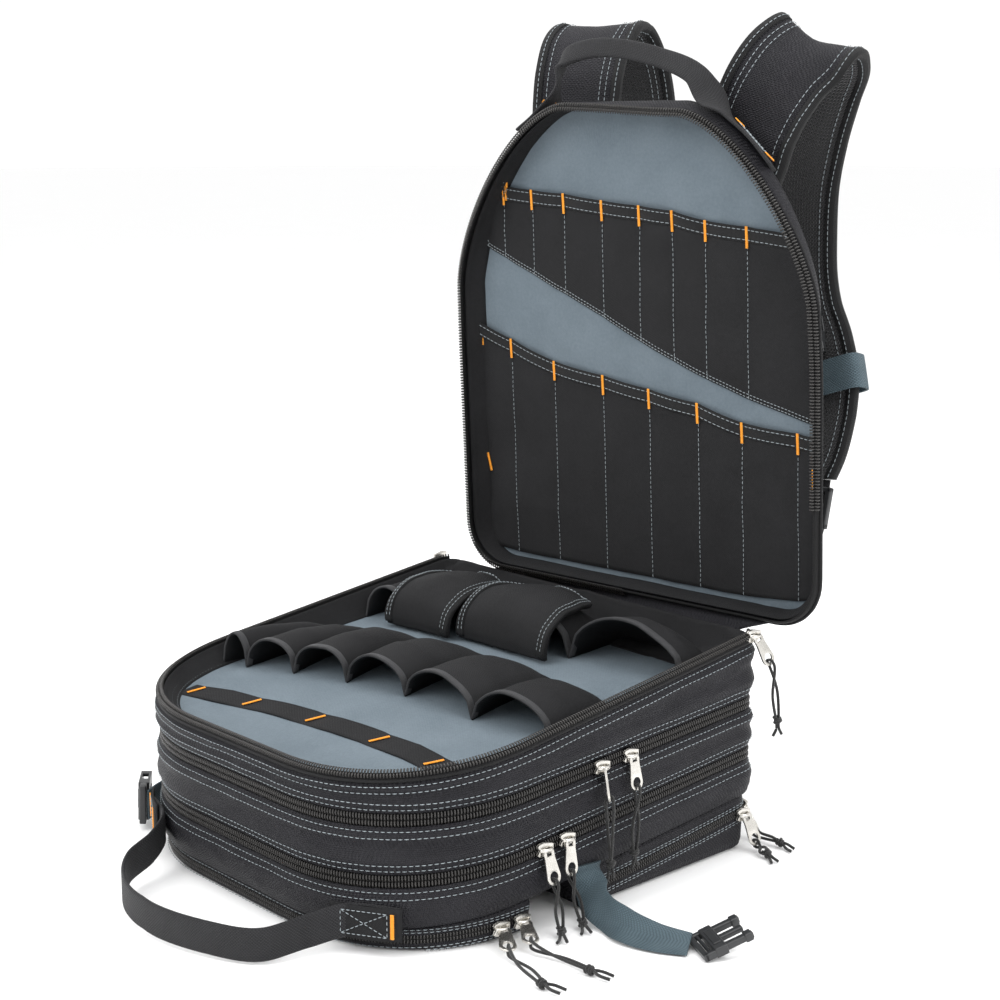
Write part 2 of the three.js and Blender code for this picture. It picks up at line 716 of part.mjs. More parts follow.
function backPanel() {
  const ring = ({ out, depth }, inward = 0) =>
    PANEL_OUTLINE.map((p) => onPanel(p, out * leanAt(p) - inward, depth));
  const rim = (inward) =>
    PANEL_OUTLINE.map((p) => onPanel(p, -rimTurn(p) - inward, RIM_ZIP_HEIGHT));
  const padFront = PANEL_WALL.at(-1);
  const shell = bowl([
    ring(padFront, CLOTH + 6),
    ring(padFront, CLOTH),
    ring(PANEL_WALL[1], CLOTH),
    rim(CLOTH),
    rim(0),
    ...PANEL_WALL.slice(1).map((w) => ring(w)),
    ...PANEL_BACK.map((w) => ring(w)),
  ]);
  place(panel, "back_panel", shell, "mesh");

  const zipList = PANEL_OUTLINE.map((p) => {
    const at = (out, depth) => onPanel(p, out - rimTurn(p), depth);
    return [
      at(-CLOTH, RIM_ZIP_HEIGHT - SEAM_GAP),
      at(0, RIM_ZIP_HEIGHT - SEAM_GAP),
      at(0, ZIP_COIL_PROUD * 2),
      at(ZIP_COIL_PROUD, ZIP_COIL_PROUD),
      at(-CLOTH / 2, 0),
      at(-CLOTH, ZIP_COIL_PROUD),
    ];
  });
  place(panel, "back_panel_zip", rings(zipList, true), "zip");

  const liningRing = (scale, depth) =>
    PANEL_OUTLINE.map((p) => {
      const inset = CLOTH + WALL_CLEARANCE + LINING_LEAN * leanAt(p);
      const x = (p.x - p.nx * inset) * scale;
      const s = lerp(PANEL_HEIGHT / 2, p.s - p.ns * inset, scale);
      return vec(x, depth, s);
    });
  const lining = rings([
    liningRing(0.5, PANEL_LINING_DEPTH),
    liningRing(1, PANEL_LINING_DEPTH),
    liningRing(1, PANEL_LINING_DEPTH + LINING),
    liningRing(0.5, PANEL_LINING_DEPTH + LINING),
  ]);
  place(panel, "panel_lining", lining, "lining");
}

// A tier of flat tool pockets: cloth over the lining, sewn down along channel lines.
// x is a share of the panel's width; top and bottom are shares of its height.
const UPPER_TIER = [
  { x: -0.5, top: 0.843, bottom: 0.722 },
  { x: -0.44, top: 0.838, bottom: 0.698 },
  { x: -0.386, top: 0.828, bottom: 0.678 },
  { x: -0.297, top: 0.82, bottom: 0.644 },
  { x: -0.203, top: 0.814, bottom: 0.608 },
  { x: -0.092, top: 0.802, bottom: 0.565 },
  { x: 0.014, top: 0.794, bottom: 0.522 },
  { x: 0.105, top: 0.786, bottom: 0.488 },
  { x: 0.192, top: 0.769, bottom: 0.459 },
  { x: 0.3, top: 0.76, bottom: 0.428 },
  { x: 0.5, top: 0.742, bottom: 0.385 },
];
const LOWER_TIER = [
  { x: -0.497, top: 0.543, bottom: 0.04 },
  { x: -0.378, top: 0.502, bottom: 0.03 },
  { x: -0.246, top: 0.463, bottom: 0.03 },
  { x: -0.1, top: 0.444, bottom: 0.03 },
  { x: 0.032, top: 0.426, bottom: 0.03 },
  { x: 0.168, top: 0.409, bottom: 0.03 },
  { x: 0.284, top: 0.38, bottom: 0.03 },
  { x: 0.427, top: 0.372, bottom: 0.04 },
  { x: 0.5, top: 0.366, bottom: 0.06 },
];
const TIER_STATIONS = [0, 0.5, 1];

function toolPockets(tier, depth) {
  const inset = CLOTH + WALL_CLEARANCE + LINING_LEAN - 2;
  const columns = [];
  tier.forEach((line, i) => {
    columns.push({ ...line, swell: 0 });
    const next = tier[i + 1];
    if (!next) return;
    columns.push({
      x: (line.x + next.x) / 2,
      top: (line.top + next.top) / 2,
      bottom: (line.bottom + next.bottom) / 2,
      swell: 1,
    });
  });
  const grid = (out) =>
    TIER_STATIONS.map((up) =>
      columns.map((c) => {
        const s = lerp(c.bottom, c.top, up) * PANEL_HEIGHT + (up === 0 ? CLOTH : 0);
        const limit = panelHalf(s, inset) - cornerCut(s);
        const x = THREE.MathUtils.clamp(c.x * BAG_WIDTH, -limit, limit);
        return vec(x, depth - out - TOOL_POCKET_BULGE * c.swell * up, s);
      }),
    );
  return sheet(grid(TOOL_POCKET_CLOTH), grid(0));
}

// How much narrower the panel is inside its lower corners at a height.
function cornerCut(s) {
  const drop = Math.max(0, PANEL_CORNER_RADIUS - s);
  const r = PANEL_CORNER_RADIUS;
  return r - Math.sqrt(Math.max(0, r * r - drop * drop));
}

function panelPockets() {
  const depth = PANEL_LINING_DEPTH - SEAM_GAP;
  place(panel, "panel_upper_pockets", toolPockets(UPPER_TIER, depth), "canvas");
  place(panel, "panel_lower_pockets", toolPockets(LOWER_TIER, depth), "canvas");
}

// A ribbon: stations of { at, side, width } with a thickness, smoothed along its run.
function ribbon(stations, width, thickness, steps, across = [-0.5, 0.5]) {
  const curve = new THREE.CatmullRomCurve3(stations.map((p) => p.at));
  const sides = new THREE.CatmullRomCurve3(stations.map((p) => p.side));
  const grid = (face) =>
    Array.from({ length: steps + 1 }, (_, i) => {
      const t = i / steps;
      const run = curve.getTangent(t);
      const side = sides.getPoint(t).normalize();
      const normal = vec(0, 0, 0).crossVectors(run, side).normalize();
      const square = vec(0, 0, 0).crossVectors(normal, run).normalize();
      const scale = widthAt(stations, t);
      return across.map((q) => {
        const crown = across.length > 2 ? 1 - 0.55 * Math.abs(q * 2) ** 3 : 1;
        return curve
          .getPoint(t)
          .addScaledVector(square, q * width * scale)
          .addScaledVector(normal, face * (thickness / 2) * crown);
      });
    });
  return sheet(grid(1), grid(-1));
}

function widthAt(stations, t) {
  const at = t * (stations.length - 1);
  const i = Math.min(stations.length - 2, Math.floor(at));
  return lerp(stations[i].width ?? 1, stations[i + 1].width ?? 1, at - i);
}

// The grab handle on the near end: a strap sewn to the wall at both ends, its loop lying on the floor.
const UP = vec(0, 0, 1);
const HANDLE_RUN = [
  { x: 0.42, s: 0.928, z: 24, wall: true },
  { x: 0.335, s: 0.974, z: 24, wall: true },
  { x: 0.295, s: 1.05, z: 18 },
  { x: 0.265, s: 1.14, z: 14 },
  { x: 0.17, s: 1.195, z: 14 },
  { x: 0.03, s: 1.225, z: 14 },
  { x: -0.1, s: 1.205, z: 15 },
  { x: -0.195, s: 1.14, z: 18 },
  { x: -0.225, s: 1.065, z: 24 },
  { x: -0.27, s: 1.01, z: 30, wall: true },
  { x: -0.36, s: 0.973, z: 31, wall: true },
];

// The wall's point nearest to a place in plan, out from the cloth.
function nearestWall(x, s, out, outline = BASE_OUTLINE) {
  let best = null;
  outline.forEach((a, i) => {
    const b = outline[(i + 1) % outline.length];
    const run = new THREE.Vector2(b.x - a.x, b.s - a.s);
    const q = new THREE.Vector2(x - a.x, s - a.s).dot(run) / run.lengthSq();
    const share = THREE.MathUtils.clamp(q, 0, 1);
    const px = lerp(a.x, b.x, share);
    const ps = lerp(a.s, b.s, share);
    const away = Math.hypot(x - px, s - ps);
    if (best && best.away <= away) return;
    const n = new THREE.Vector2(lerp(a.nx, b.nx, share), lerp(a.ns, b.ns, share)).normalize();
    best = { away, x: px + n.x * out, s: ps + n.y * out, nx: n.x, ns: n.y };
  });
  return best;
}

const ON_WALL = FOLD_PROUD + SEAM_GAP;

function grabHandle() {
  const stations = HANDLE_RUN.map((p) => {
    const x = p.x * BAG_WIDTH;
    const s = p.s * BASE_LENGTH;
    const on = p.wall ? nearestWall(x, s, ON_WALL + HANDLE_WEBBING / 2 + 1.8) : { x, s };
    return { at: vec(on.x, -on.s, p.z), side: UP };
  });
  place(bag, "grab_handle", ribbon(stations, WEBBING_WIDTH, HANDLE_WEBBING, 26), "webbing");
}

// The carrying handle on the panel's top edge, in the panel's frame. Its ends lie flat on the panel's
// wall, and its grip is folded double on edge.
const TOP_HANDLE_RUN = [
  { x: -0.3, s: 0.93, wall: true },
  { x: -0.235, s: 0.972, wall: true },
  { x: -0.205, s: 1.035, side: [-0.5, 0.8, 0.2], width: 0.95 },
  { x: -0.185, s: 1.082, side: [0.2, 0.5, 0.85], width: 0.7 },
  { x: -0.107, s: 1.102, side: [0, 0.25, 1], width: 0.62 },
  { x: -0.027, s: 1.1, side: [0, 0.2, 1], width: 0.62 },
  { x: 0.085, s: 1.079, side: [0.1, 0.3, 0.95], width: 0.62 },
  { x: 0.172, s: 1.048, side: [0.35, 0.5, 0.8], width: 0.72 },
  { x: 0.208, s: 1.012, side: [0.6, 0.7, 0.4], width: 0.95 },
  { x: 0.25, s: 0.965, wall: true },
  { x: 0.31, s: 0.922, wall: true },
  { x: 0.365, s: 0.87, wall: true },
];
const HANDLE_DEPTH = 17;
const WALL_SWELL = 2;

function topHandle() {
  const stations = TOP_HANDLE_RUN.map((p) => {
    const x = p.x * BAG_WIDTH;
    const s = p.s * PANEL_HEIGHT;
    if (!p.wall) return { at: vec(x, HANDLE_DEPTH, s), side: vec(...p.side), width: p.width };
    const on = nearestWall(x, s, 0, PANEL_OUTLINE);
    const lean = leanAt(on);
    const [bulge, edge] = [PANEL_WALL[1], PANEL_BACK[0]];
    const slope = ((edge.out - bulge.out) / (edge.depth - bulge.depth)) * lean;
    const out = wallOut(HANDLE_DEPTH) * lean + HANDLE_WEBBING / 2 + WALL_CLEARANCE + WALL_SWELL;
    return {
      at: vec(on.x + on.nx * out, HANDLE_DEPTH, on.s + on.ns * out),
      side: vec(on.nx * slope, 1, on.ns * slope),
      width: p.width,
    };
  });
  place(panel, "top_handle", ribbon(stations, WEBBING_WIDTH, HANDLE_WEBBING, 30), "webbing");
}

// The hinge: a fold of cloth from the front part's rim to under the panel's lower edge.
const HINGE_CLOTH_SHARE = 0.78;
const HINGE_FOLD = [
  { out: FOLD_PROUD + SEAM_GAP, z: 0.8 * HINGE_HEIGHT },
  { out: FOLD_PROUD + SEAM_GAP, z: 0.95 * HINGE_HEIGHT },
];
const HINGE_SEAT = [
  { depth: 16, drop: -1.5 },
  { depth: 32, drop: -5.2 },
];

function hingeCloth() {
  const half = (BAG_WIDTH / 2) * HINGE_CLOTH_SHARE;
  const columns = [-1, -0.5, 0, 0.5, 1].map((q) => q * half);
  const grid = (thick) => [
    ...HINGE_FOLD.map((f) => columns.map((x) => vec(x, f.out + thick, f.z))),
    ...HINGE_SEAT.map((f) =>
      columns.map((x) => vec(x, f.depth, -f.drop - thick).applyMatrix4(panel.matrix)),
    ),
  ];
  place(bag, "hinge_cloth", sheet(grid(CLOTH * 0.8), grid(0)), "ballistic");
}

// The harness. Stations run from the seam on the panel's back, over the top and down behind it.
const STRAP_RIGHT = [
  { seat: [74, 326], side: [0.87, 0.08, -0.48] },
  { at: [119, 48, 545], side: [0.76, 0.16, -0.62] },
  { at: [128, 48, 570], side: [0.68, 0.24, -0.68] },
  { at: [139, 52, 594], side: [0.63, 0.3, -0.7] },
  { at: [150, 63, 615], side: [0.7, 0.4, -0.55] },
  { at: [159, 82, 626], side: [0.8, 0.5, -0.3] },
  { at: [153, 97, 616], side: [0.84, 0.5, -0.18] },
  { at: [138, 108, 598], side: [0.89, 0.44, -0.08] },
  { at: [121, 116, 562], side: [0.93, 0.36, 0] },
  { at: [110, 123, 524], side: [0.97, 0.25, 0] },
  { at: [109, 126, 484], side: [1, 0.12, 0] },
  { at: [113, 124, 443], side: [1, 0.1, 0.04] },
  { at: [122, 121, 413], side: [1, 0.1, 0.08] },
  { at: [136, 118, 387], side: [1, 0.1, 0.1] },
  { at: [149, 113, 360], side: [1, 0.1, 0.06], width: 0.96 },
  { at: [157, 107, 331], side: [1, 0.12, 0], width: 0.8 },
  { at: [162, 101, 305], side: [1, 0.14, 0], width: 0.6 },
  { at: [164, 95, 285], side: [1, 0.15, 0], width: 0.42 },
];
const STRAP_LEFT = [
  { seat: [-94, 322], side: [1, 0.09, 0] },
  { at: [-62, 36, 548], side: [0.95, 0.28, 0.03] },
  { at: [-63, 40, 585], side: [0.87, 0.5, 0.05] },
  { at: [-63, 44, 612], side: [0.84, 0.54, 0] },
  { at: [-66, 56, 635], side: [0.8, 0.6, 0.02] },
  { at: [-69, 77, 647], side: [0.78, 0.62, 0.06] },
  { at: [-74, 96, 640], side: [0.82, 0.56, 0.04] },
  { at: [-72, 110, 618], side: [0.87, 0.48, 0] },
  { at: [-68, 118, 580], side: [0.93, 0.36, 0] },
  { at: [-70, 122, 530], side: [0.98, 0.2, 0] },
  { at: [-76, 121, 480], side: [1, 0.1, 0] },
  { at: [-86, 118, 435], side: [1, 0.05, 0] },
  { at: [-98, 113, 390], side: [1, 0.03, 0], width: 0.97 },
  { at: [-107, 104, 350], side: [1, 0, 0], width: 0.8 },
  { at: [-112, 96, 320], side: [1, 0, 0], width: 0.6 },
  { at: [-114, 90, 300], side: [1, 0, 0], width: 0.42 },
];
const STRAP_ACROSS = [-0.5, -0.44, 0, 0.44, 0.5];
// A station is a place in the bag, or a seat on the panel's back for a piece of this thickness.
const readStations = (list, thickness = 0) =>
  list.map(({ at, seat, side, width }) => {
    const onBack = seat && vec(seat[0], PANEL_DEPTH + thickness / 2 + WALL_CLEARANCE, seat[1]);
    const place = seat ? onBack.applyMatrix4(panel.matrix) : vec(...at);
    return { at: place, side: vec(...side).normalize(), width };
  });

// Webbing from each strap's lower end to the panel's lower corner, through the adjuster.
const TAIL_RIGHT = [
  { at: [164.1, 94.8, 284.3], side: [1, 0.15, 0] },
  { at: [166, 88, 262], side: [1, 0.15, 0] },
  { at: [167, 81, 240], side: [1, 0.12, 0] },
  { at: [142, 70, 220], side: [1, 0.1, 0] },
  { seat: [112, 20], side: [1, 0.09, 0] },
];
const TAIL_LEFT = [
  { at: [-114.1, 89.8, 299.3], side: [1, 0, 0] },
  { at: [-116.5, 80, 270], side: [1, 0, 0] },
  { at: [-118, 71, 243], side: [1, 0.03, 0] },
  { at: [-108, 51, 221], side: [1, 0.09, 0] },
  { seat: [-138, 22], side: [1, 0.09, 0] },
];

// A frame and matrix at a station: X along the side, Y along the normal towards the panel, Z up the run.
function basisAt(at, side, run) {
  const z = run.clone().normalize();
  const y = vec(0, 0, 0).crossVectors(z, side).normalize();
  const x = vec(0, 0, 0).crossVectors(y, z);
  return new THREE.Matrix4().makeBasis(x, y, z).setPosition(at);
}

const box = (w, d, h, x = 0, y = 0, z = 0) =>
  new THREE.BoxGeometry(w, d, h).translate(x, y, z);

// The ladder buckle that takes up a strap's webbing: a frame, a cross bar and a thumb lip.
function adjusterGeometry() {
  const bar = 5;
  const [w, h, d] = [WEBBING_WIDTH + 10, 34, 6];
  const side = box(bar, d, h, w / 2 - bar / 2);
  const other = box(bar, d, h, -w / 2 + bar / 2);
  const top = box(w, d, bar, 0, 0, h / 2 - bar / 2);
  const middle = box(w, d * 0.7, bar, 0, 0, 1);
  const lip = box(w * 0.8, d * 1.6, bar, 0, -d * 0.3, -h / 2 + bar / 2);
  const foot = box(w, d, bar, 0, 0, -h / 2 + bar / 2);
  return joined(side, other, top, middle, foot, lip);
}

// The webbing keeper that carries the chest strap: a loop of webbing round a shoulder strap.
function keeperGeometry() {
  const height = WEBBING_WIDTH + 3;
  const [w, d] = [STRAP_WIDTH + 2, STRAP_PADDING + 7];
  const loop = new THREE.Shape();
  const corner = d / 2.2;
  const trace = (path, hw, hd, r) => {
    path.moveTo(-hw + r, -hd);
    path.lineTo(hw - r, -hd);
    path.quadraticCurveTo(hw, -hd, hw, -hd + r);
    path.lineTo(hw, hd - r);
    path.quadraticCurveTo(hw, hd, hw - r, hd);
    path.lineTo(-hw + r, hd);
    path.quadraticCurveTo(-hw, hd, -hw, hd - r);
    path.lineTo(-hw, -hd + r);
    path.quadraticCurveTo(-hw, -hd, -hw + r, -hd);
  };
  trace(loop, w / 2 + WEBBING, d / 2 + WEBBING, corner + WEBBING);
  const hole = new THREE.Path();
  trace(hole, w / 2, d / 2, corner);
  loop.holes.push(hole);
  const geometry = new THREE.ExtrudeGeometry(loop, {
    depth: height,
    bevelEnabled: false,
    curveSegments: 4,
  });
  return geometry.translate(0, 0, -height / 2);
}

// The chest strap's snap buckle, half by half: a socket block with its mouth open, and a plug with two arms.
function buckleGeometry(kind) {
  const [w, l, d] = [BUCKLE_WIDTH, BUCKLE_LENGTH * 0.62, BUCKLE_THICKNESS];
  const bar = 4;
  const rim = [
    box(w, d * 0.6, bar, 0, 0, -l / 2 - 7),
    box(bar, d * 0.6, 9, w / 2 - bar / 2, 0, -l / 2 - 4),
    box(bar, d * 0.6, 9, -w / 2 + bar / 2, 0, -l / 2 - 4),
  ];
  if (kind === "socket") {
    const shell = solidOf(box(w, d, l)).subtract(solidOf(box(w - 8, d - 4, l, 0, 0, 4)));
    const window = solidOf(box(w + 2, d - 4, l * 0.4, 0, 0, 1));
    return joined(geometryOf(shell.subtract(window)), ...rim);
  }
  return joined(
    box(w, d * 0.8, l * 0.35, 0, 0, -l * 0.33),
    box(5, d * 0.55, l * 0.9, w / 2 - 4, 0, l * 0.15),
    box(5, d * 0.55, l * 0.9, -w / 2 + 4, 0, l * 0.15),
    box(5, d * 0.45, l * 0.8, 0, 0, l * 0.1),
    ...rim,
  );
}

const CHEST = {
  right: { station: 14, buckle: "socket", slack: 0 },
  left: { station: 12, buckle: "plug", slack: 1.7 },
};

function harness() {
  const sides = [
    ["right", STRAP_RIGHT, TAIL_RIGHT],
    ["left", STRAP_LEFT, TAIL_LEFT],
  ];
  for (const [side, strap, tail] of sides) {
    const stations = readStations(strap, STRAP_PADDING);
    const padded = ribbon(stations, STRAP_WIDTH, STRAP_PADDING, 34, STRAP_ACROSS);
    place(bag, "shoulder_strap_" + side, padded, "ballistic");
    const tails = readStations(tail, WEBBING);
    place(bag, "strap_tail_" + side, ribbon(tails, WEBBING_WIDTH, WEBBING, 8), "webbing");
    const held = tails[1];
    const run = tails[2].at.clone().sub(tails[0].at).normalize().negate();
    const frame = basisAt(held.at, held.side, run);
    const adjuster = adjusterGeometry().translate(0, -4.8, 0).applyMatrix4(frame);
    place(bag, "strap_adjuster_" + side, adjuster, "plastic");
    const chest = CHEST[side];
    const station = stations[chest.station];
    const chestRun = stations[chest.station - 1].at.clone().sub(stations[chest.station + 1].at);
    const chestFrame = basisAt(station.at, station.side, chestRun);
    const keeper = keeperGeometry().translate(0, chest.slack, 0).applyMatrix4(chestFrame);
    place(bag, "chest_webbing_" + side, keeper, "greyWebbing");
    const buckle = buckleGeometry(chest.buckle)
      .translate(0, -(STRAP_PADDING + BUCKLE_THICKNESS) / 2 - 2.2, WEBBING_WIDTH + 18);
    place(bag, "chest_buckle_" + side, buckle.applyMatrix4(chestFrame), "plastic");
  }
}

// The side compression straps, their webbing on the floor, and their buckle halves. A place is out from the
// wall's point nearest to shares of the half width and the length, at height z.
const SIDE_RIGHT = [
  { x: 1, s: 0.519, out: 4.2, z: 38, side: [0, 1, 0.05] },
  { x: 1, s: 0.5205, out: 3.4, z: 32, side: [0, 1, 0.1] },
  { x: 1, s: 0.5246, out: 8, z: 24, side: [0.15, 0.8, 0.5] },
  { x: 1, s: 0.546, out: 20, z: 17, side: [0.6, 0.4, 0.55] },
  { x: 1, s: 0.5535, out: 37, z: 12.5, side: [0.7, 0.2, 0.5] },
  { x: 1, s: 0.553, out: 58, z: 10, side: [0.4, 0.75, 0.46] },
  { x: 1, s: 0.534, out: 77, z: 7, side: [0, 0.95, 0.35] },
  { x: 1, s: 0.4997, out: 96.6, z: 4.5, side: [-0.3, 0.95, 0.2] },
];
const SIDE_LEFT = [
  { x: -1, s: 0.5137, out: 5.1, z: 32, side: [0, 0, 1] },
  { x: -1, s: 0.6557, out: 6, z: 28, side: [0, 0, 1] },
  { x: -0.976, s: 0.77, out: 8.6, z: 24, side: [0, 0, 1] },
  { x: -0.906, s: 0.853, out: 15.8, z: 22, side: [0, 0, 1] },
  { x: -0.836, s: 0.898, out: 18.4, z: 22, side: [0, 0, 1] },
];
const SIDE_BUCKLES = {
  right: { place: { x: 1, s: 0.4426, out: 117, z: 7.5 }, run: [0.3, 0.95, 0.03], face: [-0.95, 0.3, 0.2], kind: "plug" },
  left: { place: { x: -0.902, s: 0.8555, out: 28.4, z: 22.5 }, run: [-0.8, 0.6, 0.03], face: [0, 0.05, 1], kind: "socket" },
};

function besideWall({ x, s, out, z }) {
  const on = nearestWall((x * BAG_WIDTH) / 2, s * BASE_LENGTH, out);
  return [on.x, -on.s, z];
}

function sideStraps() {
  const straps = { right: SIDE_RIGHT, left: SIDE_LEFT };
  for (const [side, list] of Object.entries(straps)) {
    const stations = list.map((p) => ({ at: besideWall(p), side: p.side }));
    const webbing = ribbon(readStations(stations), WEBBING_WIDTH, WEBBING, 12);
    place(bag, "side_strap_" + side, webbing, "greyWebbing");
    const { place: beside, run, face, kind } = SIDE_BUCKLES[side];
    const z = vec(...run).normalize();
    const x = vec(...face).normalize();
    const frame = basisAt(vec(...besideWall(beside)), x, z);
    const buckle = buckleGeometry(kind).applyMatrix4(frame);
    place(bag, "side_buckle_" + side, buckle, "plastic");
  }
}

// The zip sliders with their pull tabs, and the cord loops knotted through the tabs' holes.

// Stands a flat shape up: its own X stays, its Y becomes Z, and its thickness runs towards -Y.
const UPRIGHT = new THREE.Matrix4().makeBasis(vec(1, 0, 0), vec(0, 0, 1), vec(0, -1, 0));

// A slider in its own frame: Y is out from the zip and X along it. The tab hangs towards -Z.
function tabGeometry() {
  const shape = new THREE.Shape();
  const [half, neck, hole] = [TAB_WIDTH / 2, TAB_WIDTH * 0.32, TAB_HOLE_DIAMETER / 2];
  const centre = -(TAB_LENGTH - half);
  shape.moveTo(-neck, 0);
  shape.lineTo(-half * 0.86, centre * 0.75);
  shape.lineTo(-half, centre);
  for (let i = 1; i < 8; i++) {
    const angle = Math.PI + (i / 8) * Math.PI;
    shape.lineTo(half * Math.cos(angle), centre + half * Math.sin(angle));
  }
  shape.lineTo(half, centre);
  shape.lineTo(half * 0.86, centre * 0.75);
  shape.lineTo(neck, 0);
  shape.closePath();
  const opening = new THREE.Path();
  opening.absellipse(0, centre, hole, hole, 0, Math.PI * 2, true, 0);
  shape.holes.push(opening);
  const geometry = new THREE.ExtrudeGeometry(shape, {
    depth: TAB_THICKNESS,
    bevelEnabled: false,
    curveSegments: 6,
  });
  geometry.translate(0, 0, -TAB_THICKNESS / 2);
  return geometry.applyMatrix4(UPRIGHT);
}

function sliderBody() {
  const taper = new THREE.Shape();
  const [l, w] = [SLIDER_LENGTH / 2, SLIDER_WIDTH / 2];
  taper.moveTo(-l, -w * 0.62);
  taper.lineTo(l * 0.3, -w);
  taper.lineTo(l, -w * 0.72);
  taper.lineTo(l * 0.72, 0);
  taper.lineTo(l, w * 0.72);
  taper.lineTo(l * 0.3, w);
  taper.lineTo(-l, w * 0.62);
  taper.closePath();
  const plate = new THREE.ExtrudeGeometry(taper, { depth: SLIDER_HEIGHT * 0.55, bevelEnabled: false });
  plate.applyMatrix4(UPRIGHT);
  plate.translate(0, SLIDER_HEIGHT * 0.55, 0);
  const bridge = box(SLIDER_LENGTH * 0.55, SLIDER_HEIGHT * 0.6, 3, 0, SLIDER_HEIGHT * 0.75, 0);
  return [plate, bridge];
}

// Each slider: where it sits, the way out from the cloth, the way along the zip, how its tab hangs
// and which way the tab faces. The cord hangs from the tab to its knot, and its tails end at two places.
const RIGHT_WALL = { outward: [1, 0, 0], along: [0, -1, 0], face: [1, 0, 0] };
const LEFT_WALL = { outward: [-1, 0, 0], along: [0, 1, 0], face: [-1, 0, 0] };
const HINGE_WALL = { outward: [0, 1, 0], along: [1, 0, 0], face: [0.3, 1, 0] };
const ON_FLOOR = { face: [0.25, -0.1, 1] };
const ZIP_HEIGHT = {
  rim: (t) => seamHeight("rim", t),
  upper: (t) => seamHeight("upperZip", t),
  lower: (t) => seamHeight("lowerZip", t),
  top: (t) => frontHeight(t) * TOP_ZIP_SHARE(t),
  bottom: (t) => frontHeight(t) * BOTTOM_ZIP_SHARE(0),
};
// How far from the hinge each pair of sliders is parked.
const TOP_POCKET_START = BASE_LENGTH - TOP_POCKET_LENGTH;
const SLIDERS = [
  { name: "rim_right", ...RIGHT_WALL, zip: "rim", s: 8, out: 3.04, lift: 5.1, tab: [0.3, 0.35, -0.9],
    knot: [202, 6, 108], tails: [[201, 2, 95], [204, 9, 96]] },
  { name: "rim_left", ...LEFT_WALL, zip: "rim", s: 8, out: 4.54, lift: 5.1, tab: [-0.25, 0.1, -0.95],
    knot: [-201, -4, 106], tails: [[-201, -8, 93], [-202, 1, 94]] },
  { name: "upper_a", ...RIGHT_WALL, zip: "upper", s: 0.4016 * BASE_LENGTH, out: 2, lift: -0.2, tab: [0.16, 0, -1],
    knot: [195, -148, 38], tails: [[195, -151, 25], [195, -144, 26]] },
  { name: "upper_b", ...RIGHT_WALL, face: [0.67, 0.74, 0], zip: "upper", s: 0.4836 * BASE_LENGTH, out: 2, lift: 0,
    tab: [0.2, 0, -1], knot: [196, -174, 36], tails: [[196, -178, 23], [196, -171, 24]] },
  { name: "lower_a", ...RIGHT_WALL, zip: "lower", s: 0.5792 * BASE_LENGTH, out: 2, lift: 0, tab: [0.2, -0.12, -1],
    knot: [206, -213, 5], tails: [[215, -223, 2], [218, -216, 2]] },
  { name: "lower_b", ...RIGHT_WALL, zip: "lower", s: 0.6393 * BASE_LENGTH, out: 2, lift: 0, tab: [0.22, 0.1, -1],
    knot: [206, -234, 5], tails: [[214, -246, 2], [218, -240, 2]] },
  { name: "top_a", ...RIGHT_WALL, ...ON_FLOOR, zip: "top", s: TOP_POCKET_START + 11, out: 0, lift: -0.4,
    tab: [0.82, -0.52, -0.2], knot: [262, -262, 4], tails: [[277, -254, 2], [279, -260, 2]] },
  { name: "top_b", ...RIGHT_WALL, ...ON_FLOOR, zip: "top", s: TOP_POCKET_START + 29, out: -0.4, lift: -0.65,
    tab: [0.8, -0.56, -0.18], knot: [255, -300, 4], tails: [[270, -292, 2], [271, -299, 2]] },
  { name: "bottom_a", ...RIGHT_WALL, zip: "bottom", s: 13, out: -0.2, lift: -1.4, tab: [0.3, 0.2, -0.93],
    knot: [210, -12, 4.4], tails: [[221, -20, 1.6], [223, -14, 1.6]] },
  { name: "bottom_b", ...HINGE_WALL, zip: "bottom", s: 1, out: -1.73, lift: -1.14, tab: [0.35, 0.25, -0.9],
    knot: [203, 13, 4.4], tails: [[216, 10, 1.6], [215, 16, 1.6]] },
];

// Where a slider sits: on its zip, a little out from the wall's line.
function sliderSeat({ name, zip, s, out, lift }) {
  const sign = name === "rim_left" ? -1 : 1;
  const x = sign * (innerHalf(BASE_OUTLINE, s, 0) + out);
  return vec(x, -s, ZIP_HEIGHT[zip](s / BASE_LENGTH) + lift);
}

// The tab's frame in the bag: its width, its face's normal and the way up to the bridge.
function tabFrame(slider) {
  const { outward, tab, face } = slider;
  const down = vec(...tab).normalize();
  const top = sliderSeat(slider).addScaledVector(vec(...outward), SLIDER_HEIGHT * 0.9);
  const faced = vec(...face);
  const normal = faced.addScaledVector(down, -faced.dot(down)).normalize();
  const up = down.clone().negate();
  const width = vec(0, 0, 0).crossVectors(normal, up);
  const hole = top.clone().addScaledVector(down, TAB_LENGTH - TAB_WIDTH / 2 + CORD_REST);
  return { matrix: new THREE.Matrix4().makeBasis(width, normal, up).setPosition(top), down, normal, width, hole };
}

function sliderGeometry(slider) {
  const seat = new THREE.Matrix4().makeBasis(
    vec(...slider.along),
    vec(...slider.outward),
    vec(0, 0, 0).crossVectors(vec(...slider.along), vec(...slider.outward)),
  );
  seat.setPosition(sliderSeat(slider));
  const body = sliderBody().map((part) => part.applyMatrix4(seat));
  return joined(...body, tabGeometry().applyMatrix4(tabFrame(slider).matrix));
}

function tube(points, diameter, steps, sides = 8) {
  const corners = Array.from({ length: sides }, (_, i) => {
    const angle = (i / sides) * Math.PI * 2;
    return new THREE.Vector2(Math.cos(angle), Math.sin(angle)).multiplyScalar(diameter / 2);
  });
  return new THREE.ExtrudeGeometry(new THREE.Shape(corners), {
    steps,
    extrudePath: new THREE.CatmullRomCurve3(points),
    bevelEnabled: false,
  });
}

